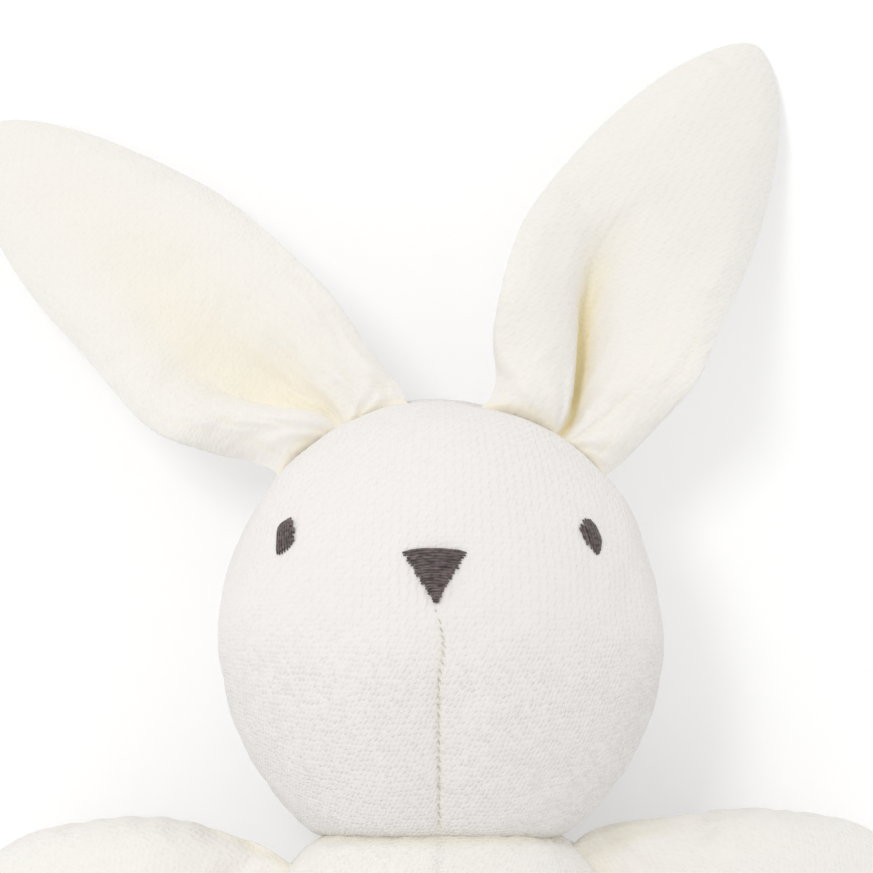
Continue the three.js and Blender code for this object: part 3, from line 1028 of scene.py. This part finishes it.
@dataclass(frozen=True)
class Trough:
    """The trough down an ear's lining, given at stations from the root seam."""

    stations: tuple[float, ...]
    line: tuple[float, ...]
    depth: tuple[float, ...]
    wall: tuple[float, ...]
    ramp: tuple[float, ...]
    tint: tuple[float, ...]
    lobes: tuple[float, float]
    tint_reach: tuple[float, float]
    crispness: float
    floor_share: float = 0.4
    least_span: float = 0.5
    lobe_start: float = 1.2
    lobe_rise: float = 6.0
    folded_to: float = 10.0
    open_from: float = 36.0
    groove_power: float = 2.6

    def at(self, s: Array, values: Sequence[float]) -> Array:
        """Read one of the station lists at any distance from the root seam."""
        return np.interp(s, self.stations, values)

    def shape(self, across: Array, s: Array, half: Array, lens: Array) -> tuple[Array, Array]:
        """Press the trough in and let the lining swell on both sides of it.

        Args:
            across: places across.
            s: distances from the root seam.
            half: half the ear's width there.
            lens: the height of the lining before it is folded.

        Returns:
            The new height, and how warm the light in the trough is at each place.
        """
        line = self.at(s, self.line)
        off = across - line
        low = off < 0
        flat = np.where(low, self.at(s, self.wall), self.at(s, self.ramp))
        floor = self.floor_share * flat
        span = np.maximum(np.where(low, half + line, half - line) - floor, self.least_span)
        share = np.clip((np.abs(off) - floor) / span, 0, 1)
        up = np.clip((s + self.lobe_start) / self.lobe_rise, 0, 1)
        lobe = np.where(low, *self.lobes) * np.sqrt(1 - (1 - up) ** 2)
        pillow = lobe * (4 * share * (1 - share)) ** (1 / self.crispness)
        folded = 1 - smooth(s, self.folded_to, self.open_from)
        groove = np.exp(-np.abs(off / flat) ** (self.groove_power / self.crispness))
        height = lens + folded * (pillow - lens) - self.at(s, self.depth) * groove
        # Painted shade in the trough, strongest along its line and fading up the walls
        fade = flat * np.where(low, *self.tint_reach)
        return height, self.at(s, self.tint) * bell(off, fade)


@dataclass(frozen=True)
class Pleats:
    """Fine layered folds along one margin of an ear, near its root."""

    side: Side
    reach: float
    pitch: float
    height: float
    end: float
    inset: float = 0.0
    start: float = -2.0

    def shape(self, from_edge: Array, s: Array) -> tuple[Array, Array]:
        """Raise the pleats.

        Args:
            from_edge: distances in from the margin.
            s: distances from the root seam.

        Returns:
            The change of height, and how far into a pleat's valley each place lies.
        """
        e = from_edge - self.inset
        window = smooth(e, 0.0, 0.8) * (1 - smooth(e, 0.6 * self.reach, self.reach))
        window *= smooth(s, self.start, self.start + 2)
        window *= 1 - smooth(s, 0.5 * self.end, self.end)
        # Each pleat wanders and swells along its length, so that no two are alike
        sway = 1.5 * np.sin(s * 0.24 + self.pitch) + 0.8 * np.sin(s * 0.47 + e)
        swell = 0.6 + 0.4 * np.sin(s * 0.31 + e * 1.3)
        wave = swell * np.cos(2 * math.pi * e / self.pitch + sway)
        return self.height * wave * window, np.clip(-wave, 0, 1) * window


@dataclass(frozen=True)
class Margin:
    """A place where the pattern's edge is cut fuller, or leaner below zero."""

    side: Side
    middle: float
    spread: float
    amount: float

    def extra(self, s: Array) -> Array:
        """How much wider the cut is at distances from the root seam."""
        return self.amount * bell(s - self.middle, self.spread)


@dataclass
class Ear:
    """A flat stuffed ear, folded along its lining and gathered into the head's seam."""

    side: Side
    droop: float
    heading: float
    curl: float
    pleat: float
    cup: float
    lean: float
    trough: Trough
    pleats: tuple[Pleats, ...]
    margins: tuple[Margin, ...]
    length: float = 79.0
    half_width: float = 17.4
    narrow: float = 8.0
    bend_length: float = 16.0
    bend_ease: float = 16.0
    head_radius: float = 34.0
    pleat_tint: float = 0.12
    back_push: float = 0.45
    gather_height: float = 0.8
    gather_reach: float = 8.0
    gather_count: float = 17.0
    rim: Rim = Rim(depth=0.25, width=0.03, hold=0.05)
    root_tint: float = 0.25
    steps: int = 60
    stuffing: Stuffing = Stuffing(growth=0.01, cap_mm=0.4)

    def __post_init__(self) -> None:
        """Cut the pattern and find the seat."""
        self.pattern = Leaf(
            length=self.length - self.pleat, half_width=self.half_width, root_half_width=11.5,
            widest_at=27.0, half_depth=5.0, swell=12.0, taper=0.58,
        )
        self.seat = Seat(f"{self.side.word}_ear_fold", self.droop)
        self.lump = Lump(0.2, 9, 11 + self.side.value)

    def slim(self, s: Array) -> Array:
        """How far the ear is still wide enough to be cut or folded, from 0 to 1."""
        return np.minimum(1, self.pattern.width(s) / self.narrow)

    def extra(self, side: Side, s: Array) -> Array:
        """How much wider than the plain pattern the ear is cut on one side."""
        cuts = (margin.extra(s) for margin in self.margins if margin.side is side)
        return sum(cuts, np.zeros_like(s)) * self.slim(s)

    def form(self, ball: Array) -> tuple[Array, Array, Array]:
        """Turn a unit ball into the ear, flat and straight, with quads down the trough.

        Args:
            ball: points of the unit ball.

        Returns:
            Places across, distances from the root seam, and heights, in millimetres.
        """
        s = self.pattern.reach(ball)
        closing = self.pattern.closing(ball)
        share = ball[:, 0] / ring_of(ball)
        share = share * (0.5 + 0.5 * share * share)
        line = self.trough.at(s, self.trough.line) * self.slim(s)
        across = (self.pattern.width(s) * share + line * (1 - share * share)) * closing
        for side in Side:
            across += side.value * self.extra(side, s) * smooth(side.value * share, 0.2, 1.0)
        height = self.pattern.depth(s) * np.sqrt(1 - share * share) * np.sign(ball[:, 2])
        return across, s, height * closing

    def fold_in(
        self, across: Array, s: Array, height: Array, ball: Array
    ) -> tuple[Array, Array]:
        """Fold the ear along its lining and gather its margins.

        Args:
            across: places across.
            s: distances from the root seam.
            height: heights.
            ball: the same points on the unit ball.

        Returns:
            New heights, and how much golden painted shade each point gets in the trough and the
            pleats.
        """
        off = across - self.trough.at(s, self.trough.line)
        half = {side: self.pattern.width(s) + self.extra(side, s) for side in Side}
        lining = ball[:, 2] > 0
        near = np.where(off < 0, half[Side.LEFT], half[Side.RIGHT])
        folded, warm = self.trough.shape(across, s, near, height)
        for pleats in self.pleats:
            ridge, valley = pleats.shape(half[pleats.side] - pleats.side.value * across, s)
            folded = folded + ridge
            # Painted shade in the pleats' valleys
            warm = np.maximum(warm, self.pleat_tint * valley)
        push = self.back_push * self.trough.at(s, self.trough.depth) * bell(off, 5.0)
        cup = self.cup * smooth(s, 3, 14) * (1 - smooth(s, 14, 52))
        cup = cup * (across / self.half_width) ** 2
        edge = smooth(np.abs(height), 0.0, 0.8)
        front = height + edge * (folded - height)
        return cup + np.where(lining, front, height - push * edge), warm * lining

    def gathers(self, across: Array, s: Array) -> Array:
        """Small tucks that fan out from the pinch at the root.

        Args:
            across: places across.
            s: distances from the root seam.

        Returns:
            The tucks' height, from -1 to 1.
        """
        off = across - self.trough.line[0]
        far = np.hypot(off, s + 1)
        fan = np.arctan2(off, np.maximum(s, -2.0) + 2.5)
        tucks = np.sin(fan * self.gather_count + 2.0 * np.sin(fan * 5))
        return tucks * spike(far, self.gather_reach) * smooth(far, 0.5, 3.5)

    def pose(self, points: Array, across: Array, s: Array) -> Array:
        """Lay the straight ear round the head and swing it to its own heading.

        Args:
            points: the stuffed ear, straight.
            across: places across before it was stuffed.
            s: distances from the root seam before it was stuffed.

        Returns:
            The points in the frame, in millimetres.
        """
        points[:, 1] -= across ** 2 / (2 * self.head_radius) * (1 - smooth(s, 0, 12))
        points[:, 0] += self.lean * smooth(s, 0, 9) * (1 - smooth(s, 18, 46))
        curved = swing(points, self.side.value * self.curl, self.length)
        turn = self.side.value * self.heading - self.seat.bearing
        curved = swing(curved, turn, self.bend_length, self.bend_ease)
        return lay_on_table(self.seat.place(curved))

    def build(self, material: bpy.types.Material) -> bpy.types.Object:
        """Make the ear and fit it to the frame.

        Args:
            material: its velour.

        Returns:
            The ear piece.
        """
        word = self.side.word
        piece = quad_ball(f"{word}_ear_plush", self.steps)
        ball = positions(piece.data)
        across, s, height = self.form(ball)
        height, warm = self.fold_in(across, s, height, ball)
        flat = np.stack([across, s - self.seat.root, height], axis=1)
        closed = np.maximum(self.pattern.sewn(s), np.clip(warm * 2.0, 0, 1))
        puffed = self.stuffing.fill(piece.data, flat, self.rim.held(ball, closed))
        gathers = self.gathers(across, s)
        front = np.sign(ball[:, 2]) * smooth(np.abs(ball[:, 2]), 0.05, 0.3)
        puffed[:, 2] += self.gather_height * gathers * front
        puffed[:, 2] += self.lump.at(flat)
        puffed = self.rim.press(piece.data, puffed, ball[:, 2], smooth(s, 3, 8))
        points = self.pose(puffed, across, s)
        loose = 0.1 + 0.25 * smooth(np.abs(across), 10, 17)
        weave = np.stack([across, s, loose], axis=1)
        # Painted shade at the root seam, where the ear gathers into the head
        rooted = self.root_tint * (1 - smooth(s + 0.5 * gathers, -0.9, 0.5))
        dress(piece, points, weave, np.clip(np.maximum(warm, rooted), 0, 1), material)
        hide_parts(f"{word}_ear_lining", f"{word}_ear_back", f"{word}_ear_wadding")
        start, end = self.seat.flex
        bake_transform(piece)
        return piece


LEFT_EAR = Ear(
    Side.LEFT,
    droop=24.08, heading=62, curl=-20, pleat=0, cup=5, lean=-3.2,
    trough=Trough(
        stations=(-3, 0, 3, 7, 12, 18, 26, 36, 50, 80),
        line=(0.5, 0.4, 0.3, -0.7, -2.4, -3.9, -4.0, -2.6, -1.0, 0),
        depth=(0.3, 0.4, 0.6, 0.9, 1.3, 1.7, 1.9, 1.6, 0.7, 0),
        wall=(0.8, 1.0, 1.5, 2.6, 4.4, 6.6, 9, 10, 10, 10),
        ramp=(0.7, 1.2, 2.8, 5.4, 8.0, 9.5, 11, 11, 10, 10),
        tint=(0.2, 0.24, 0.27, 0.29, 0.28, 0.24, 0.21, 0.17, 0.06, 0),
        lobes=(4.8, 2.8),
        tint_reach=(0.6, 0.9),
        crispness=1.2,
    ),
    pleats=(
        Pleats(Side.LEFT, reach=7.5, pitch=2.3, height=0.42, end=30, inset=1.4),
        Pleats(Side.RIGHT, reach=9.5, pitch=2.7, height=0.6, end=26, inset=1.4),
    ),
    margins=(Margin(Side.LEFT, middle=20.0, spread=12.0, amount=1.7),),
)
RIGHT_EAR = Ear(
    Side.RIGHT,
    droop=23.86, heading=24, curl=10, pleat=4, cup=8, lean=-1.0,
    trough=Trough(
        stations=(-3, 0, 3, 7, 11, 16, 20, 25, 30, 38, 80),
        line=(2.6, 2.7, 3.0, 2.5, 1.1, -0.9, -2.6, -3.8, -3.9, -2.5, 0),
        depth=(0.5, 0.7, 1.0, 1.4, 1.8, 2.3, 2.5, 2.1, 1.3, 0, 0),
        wall=(0.5, 0.5, 0.5, 0.5, 0.6, 0.7, 0.9, 1.6, 3, 5, 5),
        ramp=(0.6, 0.9, 1.2, 1.7, 2.2, 2.6, 3.0, 3.8, 5.0, 7, 7),
        tint=(0.5, 0.8, 0.88, 0.88, 0.86, 0.78, 0.62, 0.32, 0.1, 0, 0),
        lobes=(6.0, 4.0),
        tint_reach=(1.2, 0.6),
        crispness=1.6,
    ),
    pleats=(
        Pleats(Side.RIGHT, reach=9.5, pitch=2.9, height=0.3, end=30, inset=1.8),
        Pleats(Side.LEFT, reach=4.0, pitch=1.6, height=0.2, end=10),
    ),
    margins=(
        Margin(Side.LEFT, middle=3.4, spread=5.0, amount=-2.6),
        Margin(Side.LEFT, middle=66.0, spread=22.0, amount=-1.1),
        Margin(Side.RIGHT, middle=13.0, spread=9.0, amount=2.6),
    ),
)


@dataclass
class Limb:
    """A stuffed arm or leg, sewn flat into the torso's side seam."""

    name: str
    droop: float
    heading: float
    pattern: Leaf
    bend_length: float
    seed: int
    shoulder: float = 0.0
    lean: float = 0.0
    head_side: int = 0
    root_tint: float = 0.15
    edge_tint: float = 0.3
    edge_share: float = 0.78
    torso_radius: float = 30.0
    tuck_height: float = 0.34
    tuck_reach: float = 6.0
    rim: Rim = Rim(depth=0.4, width=0.5, hold=0.05)
    loose: float = 0.35
    steps: int = 30
    stuffing: Stuffing = Stuffing(growth=0.03, cap_mm=1.0)

    def __post_init__(self) -> None:
        """Find the seat and the stuffing's unevenness."""
        self.seat = Seat(f"{self.name}_swing", self.droop)
        self.lump = Lump(0.22, 11, self.seed)

    def warmth(self, across: Array, s: Array, tuck: Array) -> Array:
        """Paint shade in the root's tucks, and a painted shadow of the head along the edge towards
        it.

        Args:
            across: places across.
            s: distances from the root seam.
            tuck: the tucks' height.

        Returns:
            How much painted shade each place gets, from 0 to 1.
        """
        # Painted shade in the root's tucks, then a painted shadow of the head along the near edge
        root = self.root_tint * (1 - smooth(s + 0.8 * tuck, -0.5, 2.6))
        share = self.head_side * across / np.maximum(self.pattern.width(s), 1e-6)
        edge = self.edge_tint * smooth(share, self.edge_share, 1.0)
        return np.maximum(root, edge * (1 - smooth(s, 5, 18)))

    def build(self, material: bpy.types.Material) -> bpy.types.Object:
        """Make the limb and fit it to the frame.

        Args:
            material: its velour.

        Returns:
            The limb piece.
        """
        seat = self.seat
        piece = quad_ball(f"{self.name}_plush", self.steps)
        ball = close_rows(positions(piece.data))
        across, s, height = self.pattern.form(ball)
        outer = smooth(across * np.sign(self.shoulder), 0.0, 6.0)
        across += self.shoulder * bell(s - 1.0, 9.0) * outer
        flat = np.stack([across, s - seat.root, height], axis=1)
        held = self.rim.held(ball, self.pattern.sewn(s))
        puffed = self.stuffing.fill(piece.data, flat, held)
        tuck = np.sin(across * 1.5 + 1.2 * np.sin(across * 0.7))
        tuck = tuck * spike(np.maximum(s, 0), self.tuck_reach)
        puffed[:, 2] += self.tuck_height * tuck * np.sign(height) + self.lump.at(flat)
        puffed = self.rim.press(piece.data, puffed, height, smooth(s, 3.0, 7.0))
        puffed[:, 1] -= across ** 2 / (2 * self.torso_radius) * (1 - smooth(s, 0, 10))
        puffed[:, 0] += self.lean * smooth(s, 0, 9)
        curved = swing(puffed, self.heading - seat.bearing, self.bend_length)
        points = lay_on_table(seat.place(curved))
        weave = np.stack([across, s, np.full_like(s, self.loose)], axis=1)
        dress(piece, points, weave, self.warmth(across, s, tuck), material)
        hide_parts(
            f"{self.name}_front_panel",
            f"{self.name}_back_panel",
            f"{self.name}_stuffing",
        )
        start, end = seat.flex
        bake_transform(piece)
        return piece


ARM = Leaf(
    length=54.0, half_width=11.5, root_half_width=6.8, widest_at=33.0,
    half_depth=10.0, swell=16.0, taper=0.5, bury=5.0,
)
LEG = Leaf(
    length=45.0, half_width=12.5, root_half_width=8.5, widest_at=24.0,
    half_depth=10.5, swell=15.0, taper=0.5, bury=5.0,
)
LIMBS = (
    Limb(
        "left_arm", droop=29.22, heading=-99.5, pattern=ARM, bend_length=24, seed=31,
        shoulder=0.4, lean=-0.8, head_side=1, root_tint=0.32,
    ),
    Limb("left_leg", droop=28.2, heading=-170, pattern=LEG, bend_length=26, seed=32),
    Limb(
        "right_arm", droop=28.29, heading=97.2, pattern=ARM, bend_length=24, seed=41,
        shoulder=-4.6, lean=0.0, head_side=-1, root_tint=0.32,
    ),
    Limb("right_leg", droop=28.2, heading=170, pattern=LEG, bend_length=26, seed=42),
)


@dataclass
class Torso:
    """The stuffed torso, with a seam down the chest and the neck closed against the head."""

    half_width: float = 30.0
    half_length: float = 32.0
    half_depth: float = 24.0
    fullness: float = 2.2
    centre_z: float = 23.5
    neck_over: float = 1.2
    neck_round: float = 0.4
    neck_fullness: float = 0.12
    neck_tint: float = 0.35
    rise: float = 6.0
    rise_length: float = 18.0
    brim: float = 1.3
    brim_length: float = 4.0
    seam_line: float = -0.3
    seam_depth: float = 0.25
    seam_width: float = 0.6
    seam_hollow: float = 0.3
    seam_hold: float = 0.02
    pucker: float = 0.16
    pucker_length: float = 9.0
    rim: Rim = Rim(depth=0.45, width=0.6, hold=0.03)
    loose: float = 0.45
    weave_radius: float = 30.0
    steps: int = 40
    lumps: tuple[Lump, ...] = (Lump(0.4, 16, 21), Lump(0.12, 6, 22))
    stuffing: Stuffing = Stuffing(growth=0.015, cap_mm=0.8)

    def form(self, ball: Array, neck_y: float) -> Array:
        """Turn a unit ball into the torso.

        Args:
            ball: points of the unit ball.
            neck_y: where the neck closes it.

        Returns:
            The points in millimetres, in the frame.
        """
        ring = ring_of(ball)
        power = 2 / self.fullness
        size = ring ** power
        points = np.stack(
            [
                self.half_width * size * ball[:, 0] / ring,
                self.half_length * np.sign(ball[:, 1]) * np.abs(ball[:, 1]) ** power,
                self.half_depth * size * ball[:, 2] / ring,
            ],
            axis=1,
        )
        top, ease = neck_y + self.neck_over, self.neck_round
        points[:, 1] = top - ease * np.logaddexp(0, (top - points[:, 1]) / ease)
        upper = smooth(points[:, 1], neck_y - self.rise_length, neck_y)
        points[:, 2] *= 1 + self.neck_fullness * upper
        brim = smooth(points[:, 1], neck_y - self.brim_length, neck_y)
        brim = brim * smooth(ball[:, 2], 0.0, 0.3)
        points[:, 2] += self.centre_z + self.rise * upper + self.brim * brim
        return points

    def detail(self, points: Array, ball: Array, front: Array, neck_y: float) -> Array:
        """Sew the chest's seam in, pucker the neck and add the stuffing's unevenness.

        Args:
            points: the stuffed torso in the frame.
            ball: the same points on the unit ball.
            front: how far each point belongs to the chest, from 0 to 1.
            neck_y: where the neck closes it.

        Returns:
            The detailed points.
        """
        line = np.full(len(points), self.seam_line)
        points[:, 0] += front * (draw_in(points[:, 0], line, 0.6, 5.0) - points[:, 0])
        x = points[:, 0]
        seam = self.seam_depth * spike(x - self.seam_line, self.seam_width)
        seam = front * (seam + self.seam_hollow * bell(x, 6))
        waves = np.sin(x * 1.9 + 1.5 * np.sin(x * 0.45)) * smooth(np.abs(x), 2, 6)
        near_neck = smooth(points[:, 1], neck_y - self.pucker_length, neck_y)
        seam = seam - self.pucker * waves * front * near_neck
        lumps = sum(lump.at(points) for lump in self.lumps)
        return points + ball * (lumps - seam)[:, None]

    def build(self, neck_y: float, material: bpy.types.Material) -> bpy.types.Object:
        """Make the torso and fit it to the frame.

        Args:
            neck_y: the neck seam's place along the toy.
            material: its velour.

        Returns:
            The torso piece.
        """
        piece = quad_ball("torso_plush", self.steps)
        ball = close_rows(positions(piece.data))
        points = self.form(ball, neck_y)
        front = smooth(ball[:, 2], 0.0, 0.3)
        seam = front * bell(ball[:, 0], self.seam_hold)
        closed = np.maximum(seam, smooth(points[:, 1], neck_y - 1, neck_y))
        points = self.stuffing.fill(piece.data, points, self.rim.held(ball, closed))
        points = self.detail(points, ball, front, neck_y)
        points = self.rim.press(piece.data, points, ball[:, 2] * self.half_depth)
        points = lay_on_table(points)
        weave = panel_weave(ball, self.weave_radius, np.full(len(ball), self.loose))
        # Painted shade at the top of the torso, where it closes against the head at the neck
        fold = self.neck_tint * smooth(points[:, 1], neck_y - 1.0, neck_y + 0.4)
        dress(piece, points, weave, fold, material)
        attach(piece, "torso")
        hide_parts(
            "torso_front_left_panel",
            "torso_front_right_panel",
            "torso_back_panel",
            "torso_stuffing_front",
            "torso_stuffing_back",
        )
        return piece


@dataclass(frozen=True)
class Eye:
    """An embroidered eye: each strand's top and lower end about its middle, and their bow."""

    side: Side
    middle: float
    bow: float
    strands: tuple[tuple[float, float, float, float], ...]


LEFT_EYE = Eye(
    Side.LEFT,
    middle=-23.75,
    bow=0.0,
    strands=(
        (-1.15, 1.4, -1.3, -2.75),
        (-0.85, 1.65, -0.95, -2.8),
        (-0.45, 1.95, -0.55, -2.65),
        (-0.05, 2.3, -0.15, -2.4),
        (0.35, 2.6, 0.25, -2.05),
        (0.7, 2.85, 0.6, -1.7),
        (1.0, 2.4, 1.0, 1.5),
        (0.95, 1.5, 0.9, -1.3),
        (1.3, 1.3, 1.25, 0.5),
        (1.1, 0.1, 1.2, -0.8),
        (-1.1, 1.5, 0.8, 2.8),
    ),
)
RIGHT_EYE = Eye(
    Side.RIGHT,
    middle=22.8,
    bow=0.15,
    strands=(
        (-1.6, 1.4, -0.85, -0.5),
        (-1.4, 1.9, -0.4, -1.3),
        (-1.1, 2.5, 0.2, -1.95),
        (-0.75, 2.7, 0.65, -2.45),
        (-0.35, 2.7, 1.05, -2.8),
        (0.0, 2.6, 1.35, -2.65),
        (0.4, 2.1, 1.55, -2.15),
        (0.8, 1.3, 1.65, -1.35),
    ),
)


@dataclass
class FaceStitching:
    """The embroidered nose and eyes and the stitches that close the chin dart."""

    head: Head
    skin: Skin
    nose_top: float = 13.6
    nose_height: float = 8.1
    nose_width: float = 9.7
    nose_taper: float = 0.96
    nose_middle: float = -0.9
    nose_bow: float = 0.35
    nose_crown: float = 0.75
    nose_lift: float = 0.12
    nose_tip: float = 0.32
    row: float = 0.39
    row_points: int = 9
    eye_height: float = 16.0
    eye_crown: float = 0.4
    eye_lift: float = 0.08
    eye_points: int = 7
    tie_at: float = -0.8
    tie_lift: float = 0.08
    dart_lift: float = 0.05
    nose_strands: Strands = Strands(0.26)
    eye_strands: Strands = Strands(0.24)
    dart_strands: Strands = Strands(0.11)

    def nose(self, material: bpy.types.Material) -> bpy.types.Object:
        """Lay satin rows across a triangle that points down.

        Args:
            material: its thread.

        Returns:
            The nose piece.
        """
        rng = random.Random(7)
        runs = []
        rows = int(self.nose_height / self.row)
        for number in range(rows):
            share = number / (rows - 1)
            half = max(self.nose_tip, self.nose_width / 2 * (1 - self.nose_taper * share))
            y = self.head.centre[1] + self.nose_top - number * self.row
            left = self.nose_middle - half + rng.uniform(-0.25, 0.15)
            right = self.nose_middle + half + rng.uniform(-0.15, 0.25)
            crown = self.nose_crown * math.sin(math.pi * (0.25 + 0.6 * share))
            run = []
            for index in range(self.row_points):
                t = index / (self.row_points - 1)
                x = left + (right - left) * t
                bow = self.nose_bow * arch(t, 2) * (1 - share)
                lift = self.nose_lift + crown * arch(t, 4)
                run.append(self.skin.above(x, y + bow + rng.uniform(-0.04, 0.04), lift))
            runs.append(run)
        piece = self.nose_strands.lay("nose_stitches", runs, material)
        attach(piece, "head")
        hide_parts("nose_embroidery")
        return piece

    def eye(self, shape: Eye, material: bpy.types.Material) -> bpy.types.Object:
        """Lay satin strands side by side over an eye's shape.

        Args:
            shape: which eye, and where its strands run.
            material: its thread.

        Returns:
            The eye piece.
        """
        rng = random.Random(20 + shape.side.value)
        runs = []
        for number, (top_x, top_y, low_x, low_y) in enumerate(shape.strands):
            crown = self.eye_crown * math.sin(math.pi * (number + 0.5) / len(shape.strands))
            run = []
            for index in range(self.eye_points):
                t = index / (self.eye_points - 1)
                x = shape.middle + top_x + (low_x - top_x) * t + shape.bow * math.sin(math.pi * t)
                y = self.eye_height + top_y + (low_y - top_y) * t + rng.uniform(-0.06, 0.06)
                lift = self.eye_lift + crown * arch(t, 4)
                run.append(self.skin.above(x, self.head.centre[1] + y, lift))
            runs.append(run)
        word = shape.side.word
        piece = self.eye_strands.lay(f"{word}_eye_stitches", runs, material)
        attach(piece, "head")
        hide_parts(f"{word}_eye_embroidery")
        return piece

    def dart(self, material: bpy.types.Material) -> bpy.types.Object:
        """Lay short slanted stitches down the chin dart.

        Args:
            material: its thread.

        Returns:
            The dart piece.
        """
        rng = random.Random(3)
        head = self.head
        top = head.centre[1] + head.dart_top
        tie = [self.skin.above(self.tie_at, top + up, self.tie_lift) for up in (0.4, 0.2, 0.0)]
        runs = [tie]
        y = head.dart_top - 1.0
        while y > -head.neck_drop + 3.0:
            length = rng.uniform(0.7, 1.0)
            x = float(head.dart_at(np.array([y]))[0])
            lean = rng.uniform(0.1, 0.3)
            ends = [(x - lean, y), (x, y - length / 2), (x + lean, y - length)]
            run = [self.skin.above(a, b + head.centre[1], self.dart_lift) for a, b in ends]
            runs.append(run)
            y -= length + rng.uniform(0.35, 0.6)
        piece = self.dart_strands.lay("chin_dart_stitches", runs, material)
        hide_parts("chin_dart_thread")
        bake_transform(piece)
        return piece


# The studio


@dataclass
class Studio:
    """The table, the light and the camera straight above."""

    pixel_mm: float = 0.155
    pixels: int = 873
    middle_x: float = -0.7
    middle_above_neck: float = 62.2
    distance: float = 1.6
    sensor_mm: float = 36.0
    table_size: float = 3.0
    table_paint: Colour = (0.86, 0.86, 0.86)
    table_seen: Colour = (0.72, 0.72, 0.72)
    table_glow: float = 0.34
    side_light: float = 1.5
    top_light: float = 0.79
    key_at: Triple = (-0.33, 0.39, 0.96)
    key_aim: Triple = (0, 0.08, 0.02)
    key_size: float = 0.26
    key_power: float = 2.45

    def table(self) -> None:
        """Lay a plain pale table that stays white to the camera and takes a soft shadow."""
        work = bmesh.new()
        bmesh.ops.create_grid(work, x_segments=1, y_segments=1, size=self.table_size)
        mesh = bpy.data.meshes.new("table")
        work.to_mesh(mesh)
        work.free()
        top = show("table", mesh)
        s = Shader("table paint")
        path = s.add("LightPath").outputs
        seen = s.maths("ADD", path["Is Camera Ray"], path["Is Glossy Ray"])
        seen = s.maths("MINIMUM", s.maths("ADD", seen, path["Is Transmission Ray"]), 1.0)
        paint = s.add("BsdfDiffuse", {"Color": s.mix(seen, self.table_paint, self.table_seen)})
        strength = s.maths("MULTIPLY", seen, self.table_glow)
        glow = s.add("Emission", {"Color": (1, 1, 1, 1), "Strength": strength})
        both = s.add("AddShader", {0: paint.outputs[0], 1: glow.outputs[0]})
        mesh.materials.append(s.finish(both))

    def light(self) -> None:
        """Put up white surroundings, brighter at the sides than overhead."""
        world = bpy.data.worlds.new("studio")
        bpy.context.scene.world = world
        world.use_nodes = True
        nodes, links = world.node_tree.nodes, world.node_tree.links
        nodes.clear()
        way = nodes.new("ShaderNodeTexCoord")
        axes = nodes.new("ShaderNodeSeparateXYZ")
        links.new(way.outputs["Generated"], axes.inputs[0])
        tent = nodes.new("ShaderNodeMapRange")
        tent.inputs["To Min"].default_value = self.side_light
        tent.inputs["To Max"].default_value = self.top_light
        links.new(axes.outputs["Z"], tent.inputs["Value"])
        sky = nodes.new("ShaderNodeBackground")
        links.new(tent.outputs[0], sky.inputs["Strength"])
        out = nodes.new("ShaderNodeOutputWorld")
        links.new(sky.outputs[0], out.inputs["Surface"])

    def key(self) -> None:
        """Hang a soft square lamp at the upper left that faces the toy."""
        data = bpy.data.lights.new("key", "AREA")
        data.size = self.key_size
        data.energy = self.key_power
        lamp = show("key", data)
        lamp.location = self.key_at
        aim = Vector(self.key_aim) - Vector(self.key_at)
        lamp.rotation_euler = aim.to_track_quat("-Z", "Y").to_euler()

    def camera(self, neck: Vector) -> None:
        """Hang a long lens straight above, framed as the photograph is.

        Args:
            neck: the neck joint in metres.
        """
        data = bpy.data.cameras.new("camera")
        data.sensor_fit = "HORIZONTAL"
        data.sensor_width = self.sensor_mm
        data.lens = self.sensor_mm * self.distance / (self.pixels * self.pixel_mm * MM)
        data.clip_end = 20.0
        eye = show("camera", data)
        eye.location = (
            self.middle_x * MM,
            neck.y + self.middle_above_neck * MM,
            neck.z + self.distance,
        )
        bpy.context.scene.camera = eye

    def build(self, neck: Vector) -> None:
        """Set everything up round the toy.

        Args:
            neck: the neck joint in metres.
        """
        bpy.context.scene.view_settings.view_transform = "Standard"
        self.table()
        self.light()
        self.key()
        self.camera(neck)


def dress_rattle() -> None:
    """Give the capsule and its beads their plastics."""
    shell, bead = CAPSULE.material(), BEAD.material()
    for name, node in frame["nodes"].items():
        if name.startswith("rattle_"):
            node.data.materials.clear()
            node.data.materials.append(bead if "bead" in name else shell)


def main() -> None:
    """Build every piece in order and report it."""
    logging.basicConfig(level=logging.INFO, format="%(name)s: %(message)s")
    Studio().build(Vector(JOINTS["head_turn"]["pos_m"]))
    head_cloth, body_cloth = HEAD_VELOUR.material(), BODY_VELOUR.material()
    ear_cloth = EAR_VELOUR.material()
    dark, pale = DARK_THREAD.material(), PALE_THREAD.material()

    head = Head()
    head_piece = head.build(head_cloth)
    stitching = FaceStitching(head, Skin(head_piece))
    made = [
        head_piece,
        stitching.nose(dark),
        stitching.eye(LEFT_EYE, dark),
        stitching.eye(RIGHT_EYE, dark),
        stitching.dart(pale),
        Torso().build(head.neck_y, body_cloth),
        LEFT_EAR.build(ear_cloth),
        RIGHT_EAR.build(ear_cloth),
    ]
    made += [limb.build(body_cloth) for limb in LIMBS]
    for piece in made:
        log.info("made %s", piece.name)
    dress_rattle()


if __name__ == "__main__":
    main()
